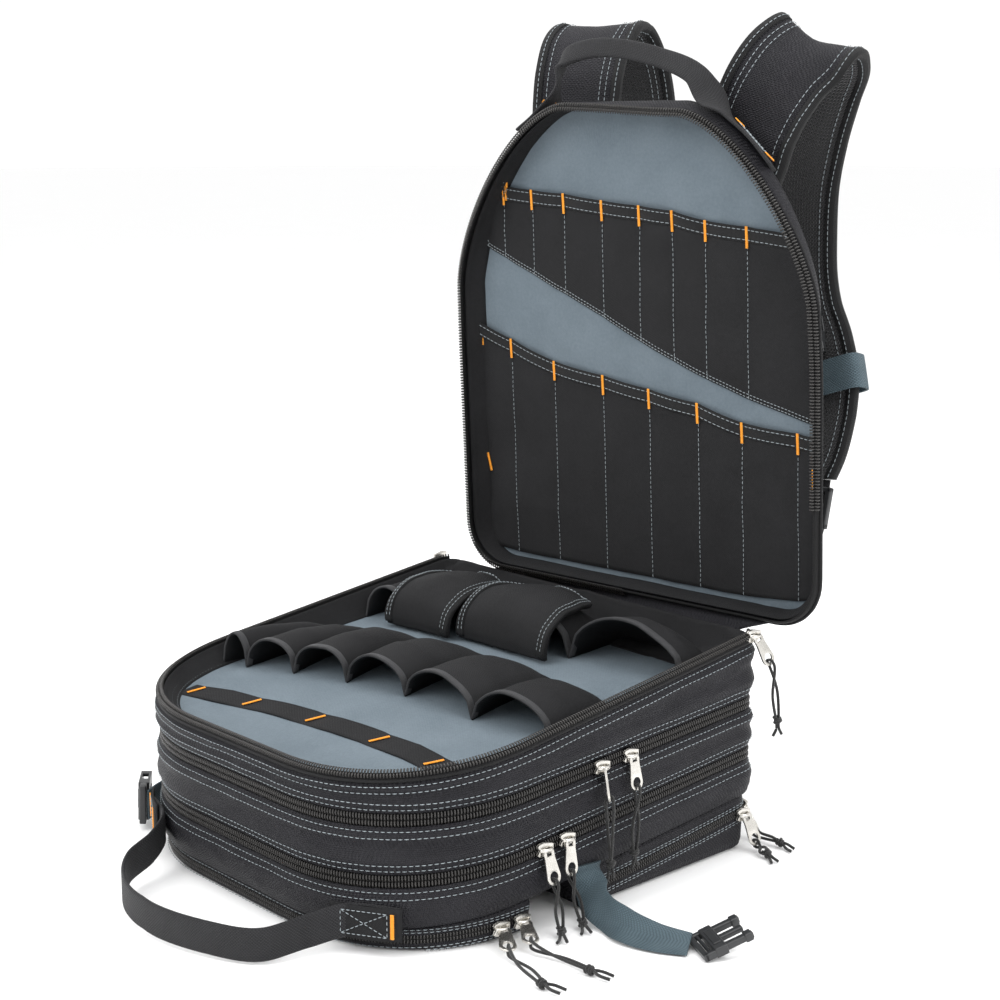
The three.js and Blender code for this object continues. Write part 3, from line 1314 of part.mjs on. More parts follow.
// The cord passes through the tab's hole, one leg on each face, and both legs end in the knot.
function cordGeometry(slider) {
  const { down, normal, width, hole } = tabFrame(slider);
  const knot = vec(...slider.knot);
  const leg = (side) => {
    const past = hole.clone().addScaledVector(down, 6).addScaledVector(normal, side * 2.8);
    const middle = past.clone().lerp(knot, 0.5).addScaledVector(width, side * CORD_SPREAD);
    return [
      knot.clone().addScaledVector(width, side * CORD_DIAMETER * 0.65),
      middle,
      past,
      hole.clone().addScaledVector(normal, side * 2.7),
    ];
  };
  const loop = tube([...leg(1), hole, ...leg(-1).reverse()], CORD_DIAMETER, 20);
  const tails = slider.tails.map((end, i) =>
    tube(
      [knot.clone().addScaledVector(width, (i ? -1 : 1) * CORD_DIAMETER * 0.6), vec(...end)],
      CORD_DIAMETER,
      2,
    ),
  );
  const ball = new THREE.IcosahedronGeometry(KNOT_DIAMETER / 2, 1);
  return joined(loop, ball.translate(knot.x, knot.y, knot.z), ...tails);
}

function zipPulls() {
  for (const slider of SLIDERS) {
    place(bag, "slider_" + slider.name, sliderGeometry(slider), "nickel");
    place(bag, "pull_cord_" + slider.name, cordGeometry(slider), "cord");
  }
}


frontPart();
facePockets();
place(bag, "tray_lining", trayLining(), "lining");
pocketRows();
flaps();
loopStrip();
backPanel();
panelPockets();
grabHandle();
topHandle();
hingeCloth();
harness();
sideStraps();
zipPulls();

// The part's frame: the origin is at the middle of the underside of everything but the free cords.
bag.updateMatrixWorld(true);
const extent = new THREE.Box3();
bag.traverse((o) => {
  if (o.isMesh && !o.name.startsWith("pull_cord")) extent.expandByObject(o, true);
});
bag.position.set(-(extent.min.x + extent.max.x) / 2, -(extent.min.y + extent.max.y) / 2, -extent.min.z);

export default bag;
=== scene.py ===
"""Looks of the tool backpack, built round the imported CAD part. Lengths are in mm in the bag's frame:
X to the right, the hinge line at Y = 0, the near end at Y = -BASE_LENGTH and the floor at Z = 0."""

import math

import bmesh
import bpy
from mathutils import Matrix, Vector
import numpy as np


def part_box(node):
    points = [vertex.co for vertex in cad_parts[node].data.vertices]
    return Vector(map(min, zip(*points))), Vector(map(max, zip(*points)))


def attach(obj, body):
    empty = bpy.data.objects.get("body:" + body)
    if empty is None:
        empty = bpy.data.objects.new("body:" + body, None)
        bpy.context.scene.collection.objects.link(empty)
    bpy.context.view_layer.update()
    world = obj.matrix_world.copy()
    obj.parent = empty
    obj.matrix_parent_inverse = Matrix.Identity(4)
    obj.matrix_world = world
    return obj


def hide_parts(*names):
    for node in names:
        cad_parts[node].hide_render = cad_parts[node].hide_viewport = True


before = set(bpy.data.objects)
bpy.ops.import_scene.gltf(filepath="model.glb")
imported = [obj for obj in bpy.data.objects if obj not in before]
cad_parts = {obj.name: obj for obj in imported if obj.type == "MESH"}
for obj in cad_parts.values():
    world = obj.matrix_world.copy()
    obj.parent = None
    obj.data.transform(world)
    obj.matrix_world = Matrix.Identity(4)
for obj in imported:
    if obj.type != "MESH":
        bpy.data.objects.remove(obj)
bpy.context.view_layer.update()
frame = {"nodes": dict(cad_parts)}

MM = 0.001
BAG_WIDTH, BASE_LENGTH = 370.0, 366.0
HALF = BAG_WIDTH / 2
HINGE_HEIGHT, NEAR_HEIGHT = 172.0, 121.0
SEAM_GAP, CLEARANCE = 0.3, 0.4
ZIP_TAPE = 17.0
POCKET_INSET = 3.0
FRONT_HINGE_HEIGHT, FRONT_NEAR_HEIGHT = 46.0, 14.0
TRAY_DEPTH_HINGE, TRAY_DEPTH_NEAR, TRAY_CROWN = 24.0, 9.0, 5.0
NEAR_POCKET_COUNT, NEAR_POCKET_HEIGHT, HINGE_POCKET_HEIGHT = 6, 27.0, 42.0
FOLD_PROUD, GUSSET_WEAR = 4.0, 1.9
LOOP_STRIP_WIDTH, PANEL_HEM = 22.0, 11.0
BOTTOM_POCKET_LENGTH, TOP_POCKET_LENGTH = 192.0, 124.0
PANEL_HEIGHT, PANEL_DEPTH, PANEL_LINING = 408.0, 38.0, 22.0
PANEL_AT = (35.0, 9.0, 178.0)
PANEL_TWIST, PANEL_LEAN = math.radians(5.2), math.radians(3.2)
WEBBING_WIDTH, WEBBING, HANDLE_WEBBING = 25.0, 2.0, 3.0
STRAP_WIDTH, STRAP_PADDING = 75.0, 11.0
LEVELS = {"rim": (1.0, 1.0), "upper": (0.71, 0.785), "lower": (0.47, 0.413)}

low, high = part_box("bottom_pocket")
SHIFT = np.array([(low[0] + high[0]) / 2 / MM, high[1] / MM + POCKET_INSET, 0.0])


def A(*values):
    return np.array(values, dtype=float)


def lerp(a, b, t):
    return a + (b - a) * t


def smooth(a, b, x):
    t = np.clip((x - a) / (b - a), 0, 1)
    return t * t * (3 - 2 * t)


def unit(v):
    return v / np.maximum(np.linalg.norm(v, axis=-1, keepdims=True), 1e-9)


def row(points):
    """Bag millimetres to row-frame metres."""
    return (np.asarray(points, dtype=float) + SHIFT) * MM


# Noise.

def noise3(p, seed=0):
    """Smooth value noise from -1 to 1 at points of any shape (..., 3)."""
    cell = np.floor(p)
    f = p - cell
    f = f * f * (3 - 2 * f)
    cell = cell.astype(np.int64)
    total = 0.0
    for dx in (0, 1):
        for dy in (0, 1):
            for dz in (0, 1):
                n = (cell[..., 0] + dx) * 73856093 ^ (cell[..., 1] + dy) * 19349663
                n = (n ^ (cell[..., 2] + dz) * 83492791 ^ seed * 2654435) & 0x7FFFFFFF
                n = (n ^ (n >> 13)) * 1274126177 & 0x7FFFFFFF
                value = ((n ^ (n >> 16)) & 0xFFFF) / 32767.5 - 1
                wx = f[..., 0] if dx else 1 - f[..., 0]
                wy = f[..., 1] if dy else 1 - f[..., 1]
                wz = f[..., 2] if dz else 1 - f[..., 2]
                total = total + value * wx * wy * wz
    return total


def rumple(u, v, scale_u, scale_v, seed=0):
    """Cloth-like unevenness: a broad swell with sharper creases on it, about -1 to 1."""
    p = np.stack([u / scale_u, v / scale_v, np.zeros_like(u) + seed * 7.3], axis=-1)
    broad = noise3(p, seed)
    fine = noise3(p * 2.3 + 11, seed + 1)
    crease = 1 - np.abs(noise3(p * A(1.3, 1.3, 1) + 31, seed + 2)) * 2.2
    return 0.55 * broad + 0.25 * fine + 0.35 * np.clip(crease, 0, 1) ** 2


# Materials.

class Nodes:
    def __init__(self, name):
        self.material = bpy.data.materials.new(name)
        self.material.use_nodes = True
        self.tree = self.material.node_tree
        self.shader = self.tree.nodes["Principled BSDF"]

    def add(self, kind, **settings):
        node = self.tree.nodes.new(kind)
        for key, value in settings.items():
            setattr(node, key, value)
        return node

    def put(self, socket, value):
        if isinstance(value, bpy.types.NodeSocket):
            self.tree.links.new(value, socket)
        else:
            socket.default_value = value

    def math(self, operation, a, b=0.0, c=0.0):
        node = self.add("ShaderNodeMath", operation=operation)
        for socket, value in zip(node.inputs, (a, b, c)):
            self.put(socket, value)
        return node.outputs[0]

    def mix(self, factor, a, b):
        node = self.add("ShaderNodeMix", data_type="RGBA", blend_type="MIX")
        self.put(node.inputs[0], factor)
        self.put(node.inputs[6], (*a, 1) if isinstance(a, tuple) else a)
        self.put(node.inputs[7], (*b, 1) if isinstance(b, tuple) else b)
        return node.outputs[2]

    def noise(self, vector, scale, detail=3.0, roughness=0.55):
        node = self.add("ShaderNodeTexNoise")
        self.put(node.inputs["Vector"], vector)
        self.put(node.inputs["Scale"], scale)
        self.put(node.inputs["Detail"], detail)
        self.put(node.inputs["Roughness"], roughness)
        return node.outputs[0]

    def bump(self, height, distance, strength=1.0, normal=None):
        node = self.add("ShaderNodeBump")
        node.inputs["Strength"].default_value = strength
        node.inputs["Distance"].default_value = distance
        self.put(node.inputs["Height"], height)
        if normal is not None:
            self.put(node.inputs["Normal"], normal)
        return node.outputs[0]

    def finish(self, color, roughness, normal=None):
        self.put(self.shader.inputs["Base Color"], (*color, 1) if isinstance(color, tuple) else color)
        self.put(self.shader.inputs["Roughness"], roughness)
        if normal is not None:
            self.put(self.shader.inputs["Normal"], normal)
        return self.material


def woven(name, dark, light, pitch=1.0, relief=0.35, rough=0.8, sheen=0.3, blotch=0.3):
    """Woven cloth on a UV map in mm: yarns over and under, with broad unevenness in colour."""
    n = Nodes(name)
    uv = n.add("ShaderNodeUVMap").outputs[0]
    split = n.add("ShaderNodeSeparateXYZ")
    n.put(split.inputs[0], uv)
    wobble = n.math("MULTIPLY", n.noise(uv, 0.12, 1.0), 2.0)
    u = n.math("ADD", n.math("MULTIPLY", split.outputs[0], 1 / pitch), wobble)
    v = n.math("ADD", n.math("MULTIPLY", split.outputs[1], 1 / pitch), wobble)
    warp = n.math("ABSOLUTE", n.math("SINE", n.math("MULTIPLY", u, math.pi)))
    weft = n.math("ABSOLUTE", n.math("SINE", n.math("MULTIPLY", v, math.pi)))
    cells = n.math("ADD", n.math("FLOOR", u), n.math("FLOOR", v))
    over = n.math("LESS_THAN", n.math("FLOORED_MODULO", cells, 2.0), 1.0)
    height = n.math("ADD", n.math("MULTIPLY", warp, over),
                    n.math("MULTIPLY", weft, n.math("SUBTRACT", 1.0, over)))
    place = n.add("ShaderNodeTexCoord").outputs["Object"]
    broad = n.noise(place, 22.0, 4.0)
    fine = n.noise(place, 420.0, 2.0)
    shade = n.math("ADD", n.math("MULTIPLY", height, 0.5), n.math("MULTIPLY", fine, 0.5))
    shade = n.math("ADD", shade, n.math("MULTIPLY", n.math("SUBTRACT", broad, 0.5), blotch * 2))
    color = n.mix(n.math("MINIMUM", n.math("MAXIMUM", shade, 0.0), 1.0), dark, light)
    folds = n.bump(broad, 0.0016, 0.35)
    normal = n.bump(height, 0.0004 * relief, 1.0, folds)
    sheen_tint = tuple(min(1.0, c * 6) for c in light)
    material = n.finish(color, rough, normal)
    n.shader.inputs["Sheen Weight"].default_value = sheen
    n.shader.inputs["Sheen Roughness"].default_value = 0.4
    n.shader.inputs["Sheen Tint"].default_value = (*sheen_tint, 1)
    n.shader.inputs["Specular IOR Level"].default_value = 0.22
    return material


def ribbed(name, dark, light, pitch=1.7, rough=0.6, sheen=0.2):
    """Webbing: ribs across its run, with the two faces' fine yarns along it."""
    n = Nodes(name)
    uv = n.add("ShaderNodeUVMap").outputs[0]
    split = n.add("ShaderNodeSeparateXYZ")
    n.put(split.inputs[0], uv)
    u = n.math("MULTIPLY", split.outputs[0], 1 / pitch)
    v = n.math("MULTIPLY", split.outputs[1], 1 / 1.15)
    row_shift = n.math("MULTIPLY", n.math("FLOORED_MODULO", n.math("FLOOR", v), 2.0), 0.5)
    rib = n.math("ABSOLUTE", n.math("SINE", n.math("MULTIPLY", n.math("ADD", u, row_shift), math.pi)))
    yarn = n.math("ABSOLUTE", n.math("SINE", n.math("MULTIPLY", v, math.pi)))
    height = n.math("MULTIPLY", n.math("POWER", rib, 0.6),
                    n.math("ADD", 0.4, n.math("MULTIPLY", yarn, 0.6)))
    place = n.add("ShaderNodeTexCoord").outputs["Object"]
    broad = n.noise(place, 60.0, 3.0)
    shade = n.math("ADD", n.math("MULTIPLY", height, 0.8),
                   n.math("MULTIPLY", n.math("SUBTRACT", broad, 0.5), 0.4))
    color = n.mix(n.math("MINIMUM", n.math("MAXIMUM", shade, 0.0), 1.0), dark, light)
    material = n.finish(color, rough, n.bump(height, 0.0005))
    n.shader.inputs["Sheen Weight"].default_value = sheen
    n.shader.inputs["Specular IOR Level"].default_value = 0.25
    return material


def spacer_mesh(name):
    """Padded spacer mesh: rows of small round holes in black knit."""
    n = Nodes(name)
    uv = n.add("ShaderNodeUVMap").outputs[0]
    split = n.add("ShaderNodeSeparateXYZ")
    n.put(split.inputs[0], uv)
    v = n.math("MULTIPLY", split.outputs[1], 1 / 2.6)
    shift = n.math("MULTIPLY", n.math("FLOORED_MODULO", n.math("FLOOR", v), 2.0), 0.5)
    u = n.math("ADD", n.math("MULTIPLY", split.outputs[0], 1 / 3.0), shift)
    du = n.math("SUBTRACT", n.math("FRACT", u), 0.5)
    dv = n.math("SUBTRACT", n.math("FRACT", v), 0.5)
    away = n.math("SQRT", n.math("ADD", n.math("MULTIPLY", du, du), n.math("MULTIPLY", dv, dv)))
    rim = n.math("MINIMUM",
                 n.math("MAXIMUM", n.math("MULTIPLY", n.math("SUBTRACT", away, 0.2), 5.0), 0.0), 1.0)
    color = n.mix(rim, (0.002, 0.002, 0.002), (0.022, 0.022, 0.024))
    material = n.finish(color, 0.85, n.bump(rim, 0.0009))
    n.shader.inputs["Sheen Weight"].default_value = 0.2
    return material


def plain(name, dark, light, rough=0.4, metal=0.0, scale=90.0):
    """Moulded or metal surface with slight unevenness in colour and gloss."""
    n = Nodes(name)
    place = n.add("ShaderNodeTexCoord").outputs["Object"]
    broad = n.noise(place, scale, 4.0)
    fine = n.noise(place, scale * 14, 2.0)
    color = n.mix(broad, dark, light)
    gloss = n.math("ADD", rough - 0.08, n.math("MULTIPLY", fine, 0.16))
    material = n.finish(color, gloss, n.bump(fine, 0.0001, 0.6))
    n.shader.inputs["Metallic"].default_value = metal
    return material


BLACK = woven("ballistic", (0.002, 0.002, 0.003), (0.02, 0.0195, 0.024), pitch=1.5, relief=1.1, rough=0.5,
              sheen=0.02, blotch=0.3)
CANVAS = woven("canvas", (0.006, 0.006, 0.0065), (0.02, 0.02, 0.0215), pitch=0.9, relief=0.6, rough=0.8,
               sheen=0.03, blotch=0.35)
LINING = woven("lining", (0.082, 0.108, 0.13), (0.16, 0.197, 0.226), pitch=0.9, relief=0.4, rough=0.75,
               sheen=0.05, blotch=0.4)
TAPE = ribbed("zip_tape", (0.002, 0.002, 0.002), (0.009, 0.009, 0.01), pitch=0.9, sheen=0.02)
COIL = plain("zip_coil", (0.008, 0.0075, 0.007), (0.03, 0.027, 0.025), rough=0.26, scale=300)
BINDING = ribbed("binding", (0.003, 0.003, 0.0035), (0.014, 0.014, 0.015), pitch=1.0, sheen=0.03)
GREY_BINDING = ribbed("grey_binding", (0.022, 0.022, 0.024), (0.075, 0.076, 0.08), pitch=1.0, sheen=0.04)
WEB = ribbed("webbing_black", (0.0015, 0.0015, 0.002), (0.028, 0.028, 0.031), pitch=2.4, sheen=0.03)
GREY_WEB = ribbed("webbing_grey", (0.02, 0.036, 0.046), (0.105, 0.15, 0.175), pitch=2.4, sheen=0.04)
MESH = spacer_mesh("spacer_mesh")
THREAD = plain("thread_grey", (0.2, 0.23, 0.25), (0.34, 0.38, 0.4), rough=0.6, scale=500)
ORANGE = plain("thread_orange", (0.72, 0.24, 0.012), (0.95, 0.42, 0.03), rough=0.5, scale=500)
PLASTIC = plain("plastic", (0.016, 0.017, 0.018), (0.028, 0.029, 0.031), rough=0.36, scale=60)
NICKEL = plain("nickel", (0.5, 0.48, 0.44), (0.74, 0.72, 0.68), rough=0.28, metal=1.0, scale=140)
CORD = ribbed("cord_black", (0.004, 0.004, 0.004), (0.024, 0.024, 0.024), pitch=1.2)


# Meshes.

def piece(name, points, faces, material, uv=None, replaces=()):
    """A mesh object from points in bag mm and quads, with UVs per face corner."""
    faces = np.asarray(faces, dtype=np.int32)
    mesh = bpy.data.meshes.new(name)
    mesh.vertices.add(len(points))
    mesh.vertices.foreach_set("co", row(points).astype(np.float32).ravel())
    mesh.loops.add(faces.size)
    mesh.loops.foreach_set("vertex_index", faces.ravel())
    mesh.polygons.add(len(faces))
    mesh.polygons.foreach_set("loop_start", np.arange(len(faces), dtype=np.int32) * 4)
    mesh.polygons.foreach_set("loop_total", np.full(len(faces), 4, dtype=np.int32))
    mesh.polygons.foreach_set("use_smooth", np.full(len(faces), True))
    layer = mesh.uv_layers.new(name="UVMap")
    if uv is None:
        uv = np.asarray(points)[faces.ravel()][:, [0, 2]]
    layer.data.foreach_set("uv", np.asarray(uv, dtype=np.float32).ravel())
    mesh.materials.append(material)
    mesh.update()
    mesh.validate()
    obj = bpy.data.objects.new(name, mesh)
    bpy.context.scene.collection.objects.link(obj)
    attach(obj, "root")
    if replaces:
        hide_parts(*replaces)
    return obj


def grid_faces(n, m, close_u=False, close_v=False):
    rows = n if close_u else n - 1
    cols = m if close_v else m - 1
    i, j = np.meshgrid(np.arange(rows), np.arange(cols), indexing="ij")
    i, j = i.ravel(), j.ravel()
    i2, j2 = (i + 1) % n, (j + 1) % m
    faces = np.stack([i * m + j, i2 * m + j, i2 * m + j2, i * m + j2], axis=1)
    corners = np.stack([i, j, i + 1, j, i + 1, j + 1, i, j + 1], axis=1).reshape(-1, 4, 2)
    return faces, corners


def lengths(grid, axis, close):
    step = np.linalg.norm(np.diff(grid, axis=axis), axis=-1)
    if close:
        last = np.linalg.norm(np.take(grid, [0], axis) - np.take(grid, [-1], axis), axis=-1)
        step = np.concatenate([step, last], axis=axis)
    shape = list(step.shape)
    shape[axis] = 1
    return np.concatenate([np.zeros(shape), np.cumsum(step, axis=axis)], axis=axis)


def surface(name, grid, material, thick=0.0, close_u=False, close_v=False, flip=False, replaces=()):
    """A sheet through a grid of points (n, m, 3), with U along the first axis and V along the second."""
    n, m, _ = grid.shape
    faces, corners = grid_faces(n, m, close_u, close_v)
    along_u = lengths(grid, 0, close_u)
    along_v = lengths(grid, 1, close_v)
    ci, cj = corners[..., 0], corners[..., 1]
    u = along_u[ci, cj % m]
    v = along_v[ci % n, cj]
    uv = np.stack([u, v], axis=-1)
    if flip:
        faces, uv = faces[:, ::-1], uv[:, ::-1]
    obj = piece(name, grid.reshape(-1, 3), faces, material, uv, replaces)
    if thick:
        shell = obj.modifiers.new("cloth", "SOLIDIFY")
        shell.thickness = thick * MM
        shell.offset = -1
    return obj


def join_parts(parts):
    """Stacks (points, faces) pairs into one."""
    points, faces, start = [], [], 0
    for p, f in parts:
        points.append(p)
        faces.append(np.asarray(f) + start)
        start += len(p)
    return np.concatenate(points), np.concatenate(faces)


def resample(path, step, extra=None):
    """Points every `step` along a polyline, with other per-point values alongside."""
    path = np.asarray(path, dtype=float)
    run = np.concatenate([[0], np.cumsum(np.linalg.norm(np.diff(path, axis=0), axis=1))])
    count = max(2, int(run[-1] / step) + 1)
    at = np.linspace(0, run[-1], count)
    take = lambda values: np.stack([np.interp(at, run, values[:, k]) for k in range(values.shape[1])],
                                   axis=1)
    if extra is None:
        return take(path)
    return take(path), take(np.asarray(extra, dtype=float))


def beads(path, normals, pitch, long, wide, tall, across=False, sink=0.3, ends=0.5, section=6):
    """Small rounded beads along a path: thread dashes, or zip teeth when they lie across it."""
    path, normals = np.asarray(path, float), np.asarray(normals, float)
    if normals.ndim == 1:
        normals = np.repeat(normals[None], len(path), axis=0)
    run = np.concatenate([[0], np.cumsum(np.linalg.norm(np.diff(path, axis=0), axis=1))])
    count = int(run[-1] / pitch)
    if count < 1:
        return []
    at = (np.arange(count) + 0.5) * run[-1] / count
    take = lambda values, where: np.stack([np.interp(where, run, values[:, k]) for k in range(3)], axis=1)
    centre = take(path, at)
    tangent = unit(take(path, at + 0.3) - take(path, at - 0.3))
    normal = take(normals, at)
    normal = unit(normal - tangent * np.sum(normal * tangent, axis=1, keepdims=True))
    side = np.cross(tangent, normal)
    axis, cross = (side, tangent) if across else (tangent, side)
    stations = [(-0.5, ends, 0.0), (-0.32, 1.0, 0.75), (0.0, 1.0, 1.0), (0.32, 1.0, 0.75), (0.5, ends, 0.0)]
    if not across:
        stations = [(-0.5, ends, 0.0), (0.0, 1.0, 1.0), (0.5, ends, 0.0)]
    angles = np.arange(section) / section * 2 * math.pi
    rings = []
    for along, fat, lift in stations:
        middle = centre + axis * (along * long) + normal * (lift * tall - sink)
        ring = [middle + cross * (math.cos(a) * wide / 2 * fat) + normal * (math.sin(a) * wide / 2 * fat)
                for a in angles]
        rings.append(np.stack(ring, axis=1))
    block = np.stack(rings, axis=1)
    total = block.shape[1] * section
    points = block.reshape(-1, 3)
    one, _ = grid_faces(block.shape[1], section, False, True)
    last = (block.shape[1] - 1) * section
    if section == 6:
        caps = [[3, 2, 1, 0], [5, 4, 3, 0], [last, last + 1, last + 2, last + 3],
                [last, last + 3, last + 4, last + 5]]
    else:
        caps = [[3, 2, 1, 0], [last, last + 1, last + 2, last + 3]]
    one = np.concatenate([one, caps])
    faces = (one[None] + (np.arange(count) * total)[:, None, None]).reshape(-1, 4)
    return [(points, faces)]


def stitch(path, normals, **changes):
    settings = dict(pitch=4.4, long=3.1, wide=0.72, tall=0.3, sink=0.0, ends=0.6, section=4)
    settings.update(changes)
    return beads(path, normals, **settings)


def tack(a, b, normal, width=2.7):
    """A bar tack: close thread across a short bar between two points."""
    path = np.linspace(np.asarray(a, float), np.asarray(b, float), 8)
    return beads(path, np.asarray(normal, float), 0.8, width, 0.95, 0.35, across=True, sink=-0.05,
                 section=4)


def teeth(path, normals, width=8.6, pitch=2.3, tall=1.0):
    """A zip's coil: two rows of rounded teeth that meet along the middle."""
    _, side, _ = frames_along(path, normals)
    rows = []
    for sign in (-1, 1):
        rows += beads(path + side * (sign * width * 0.26), normals, pitch, width * 0.46, 1.5, tall,
                      across=True, sink=0.1, ends=0.8)
    return rows


def batch(name, parts, material):
    """All beads of one kind as one piece."""
    points, faces = join_parts(parts)
    return piece(name, points, faces, material)


def sweep(path, side, normal, profile):
    """Grid of a profile [(side, normal), ...] carried along a path."""
    path = np.asarray(path, float)
    profile = np.asarray(profile, float)
    side, normal = np.broadcast_to(side, path.shape), np.broadcast_to(normal, path.shape)
    return path[:, None] + side[:, None] * profile[None, :, :1] + normal[:, None] * profile[None, :, 1:]


def frames_along(path, normals):
    """Tangents, sides and squared normals along a path."""
    path = np.asarray(path, float)
    tangent = unit(np.gradient(path, axis=0))
    normals = np.broadcast_to(np.asarray(normals, float), path.shape)
    normal = unit(normals - tangent * np.sum(normals * tangent, axis=1, keepdims=True))
    return tangent, np.cross(tangent, normal), normal


def cap(obj):
    """Closes the open ends of a swept piece."""
    bm = bmesh.new()
    bm.from_mesh(obj.data)
    edges = [e for e in bm.edges if e.is_boundary]
    bmesh.ops.holes_fill(bm, edges=edges, sides=0)
    bmesh.ops.recalc_face_normals(bm, faces=bm.faces)
    bm.to_mesh(obj.data)
    bm.free()


def tube(name, path, radius, material, sides=10, replaces=()):
    path = np.asarray(path, float)
    tangent = unit(np.gradient(path, axis=0))
    up = A(0.13, 0.2, 1.0)
    side = unit(np.cross(tangent, up))
    normal = np.cross(side, tangent)
    angles = np.arange(sides) / sides * 2 * math.pi
    grid = path[:, None] + side[:, None] * np.cos(angles)[None, :, None] * radius
    grid = grid + normal[:, None] * np.sin(angles)[None, :, None] * radius
    obj = surface(name, grid, material, close_v=True, replaces=replaces)
    cap(obj)
    return obj


def spline(points, count):
    """Centripetal Catmull-Rom through points, at equal steps of its parameter, as in the CAD source."""
    p = np.asarray(points, float)
    last = len(p) - 1
    out = []
    for t in np.linspace(0, 1, count):
        q = t * last
        i = min(int(q), last - 1)
        w = q - i
        p1, p2 = p[i], p[i + 1]
        p0 = p[i - 1] if i > 0 else 2 * p[0] - p[1]
        p3 = p[i + 2] if i + 2 <= last else 2 * p[last] - p[last - 1]
        d0 = max(np.linalg.norm(p1 - p0) ** 0.5, 1e-4)
        d1 = max(np.linalg.norm(p2 - p1) ** 0.5, 1e-4)
        d2 = max(np.linalg.norm(p3 - p2) ** 0.5, 1e-4)
        m1 = ((p1 - p0) / d0 - (p2 - p0) / (d0 + d1) + (p2 - p1) / d1) * d1
        m2 = ((p2 - p1) / d1 - (p3 - p1) / (d1 + d2) + (p3 - p2) / d2) * d1
        c2 = -3 * p1 + 3 * p2 - 2 * m1 - m2
        c3 = 2 * p1 - 2 * p2 + m1 + m2
        out.append(p1 + m1 * w + c2 * w * w + c3 * w ** 3)
    return np.array(out)


# Outlines.

class Outline:
    """The bag's outline from its face, from the right end of the straight edge round to its left end."""

    def __init__(self, half, length, flat, arch, power, corner, step=4.0):
        flat_half = flat * half * 2
        arch_length = arch * length
        right = []
        for angle in np.linspace(0, math.pi / 2, 12)[:-1]:
            right.append([half - corner * (1 - math.sin(angle)), corner * (1 - math.cos(angle))])
        for s in np.linspace(corner, length - arch_length, 30)[:-1]:
            right.append([half, s])
        for angle in np.linspace(0, math.pi / 2, 90):
            across = max(0.0, math.cos(angle)) ** (2 / power)
            along = math.sin(angle) ** (2 / power)
            right.append([flat_half + (half - flat_half) * across, length - arch_length * (1 - along)])
        right = np.array(right)
        left = right[::-1] * A(-1, 1)
        full = resample(np.concatenate([right, left]), step)
        tangent = unit(np.gradient(full, axis=0))
        for _ in range(3):
            tangent[1:-1] = (tangent[:-2] + tangent[1:-1] * 2 + tangent[2:]) / 4
        tangent = unit(tangent)
        self.x, self.s = full[:, 0], full[:, 1]
        self.nx, self.ns = tangent[:, 1], -tangent[:, 0]
        self.length = length
        self.t = self.s / length
        self.run = np.concatenate([[0], np.cumsum(np.linalg.norm(np.diff(full, axis=0), axis=1))])

    def closed(self, count):
        """Adds the straight edge back to the start: arrays x, s, nx, ns, run."""
        gap = self.x[0] - self.x[-1]
        q = np.arange(1, count) / count
        x = np.concatenate([self.x, self.x[-1] + gap * q])
        s = np.concatenate([self.s, np.zeros(count - 1)])
        nx = np.concatenate([self.nx, np.zeros(count - 1)])
        ns = np.concatenate([self.ns, -np.ones(count - 1)])
        run = np.concatenate([self.run, self.run[-1] + gap * q])
        return x, s, nx, ns, run

    def half_at(self, s, inset=0.0):
        right = self.x > 0
        xs, ss = self.x[right] - inset, self.s[right]
        return np.interp(s, ss, xs)

    def distance(self, x, s):
        """Distance in from the outline's arch and sides, and from the straight edge."""
        pts = np.stack([x.ravel(), s.ravel()], axis=1)
        line = np.stack([self.x, self.s], axis=1)
        best = np.full(len(pts), 1e9)
        for start in range(0, len(pts), 4000):
            d = np.linalg.norm(pts[start:start + 4000, None] - line[None], axis=2)
            best[start:start + 4000] = d.min(axis=1)
        return np.minimum(best.reshape(x.shape), s)


BASE = Outline(HALF, BASE_LENGTH, 0.15, 0.334, 2.25, 16.0)
PANEL = Outline(HALF, PANEL_HEIGHT, 0.161, 0.385, 1.6, 40.0)


def seam(level, t):
    hinge, near = LEVELS[level]
    return lerp(hinge * HINGE_HEIGHT, near * NEAR_HEIGHT, t)


def front_height(t):
    return lerp(FRONT_HINGE_HEIGHT, FRONT_NEAR_HEIGHT, t)


def tray_height(x, s):
    t = np.clip(s / BASE_LENGTH, 0, 1)
    across = 1 - np.minimum(1, np.abs(x) / HALF) ** 2
    along = np.sin(math.pi * np.clip(t, 0.02, 0.98))
    depth = lerp(TRAY_DEPTH_HINGE, TRAY_DEPTH_NEAR, t)
    return seam("rim", t) - depth + TRAY_CROWN * across * along


ROT = np.array([[math.cos(PANEL_TWIST), -math.sin(PANEL_TWIST), 0],
                [math.sin(PANEL_TWIST), math.cos(PANEL_TWIST), 0], [0, 0, 1]])
ROT = ROT @ np.array([[1, 0, 0], [0, math.cos(PANEL_LEAN), -math.sin(PANEL_LEAN)],
                      [0, math.sin(PANEL_LEAN), math.cos(PANEL_LEAN)]])


def on_panel(x, depth, s):
    """Panel frame (across, back, up) to the bag's frame."""
    local = np.stack(np.broadcast_arrays(x, depth, s), axis=-1).astype(float)
    return local @ ROT.T + A(*PANEL_AT)


def panel_dir(x, depth, s):
    return ROT @ A(x, depth, s)


FACE = panel_dir(0, -1, 0)


# The front part's walls.

def ring_frame(count=90):
    x, s, nx, ns, run = BASE.closed(count)
    return x, s, nx, ns, run, s / BASE_LENGTH


def wall_point(x, s, nx, ns, out, z):
    return np.stack(np.broadcast_arrays(x + nx * out, -(s + ns * out), z), axis=-1)


FOLD_HEIGHTS = np.array([0, 0.3, 0.55, 0.8, 1.0])
FOLD_OUTS = np.array([0.1, 0.9, 0.45, 1.0, 0.2]) * FOLD_PROUD


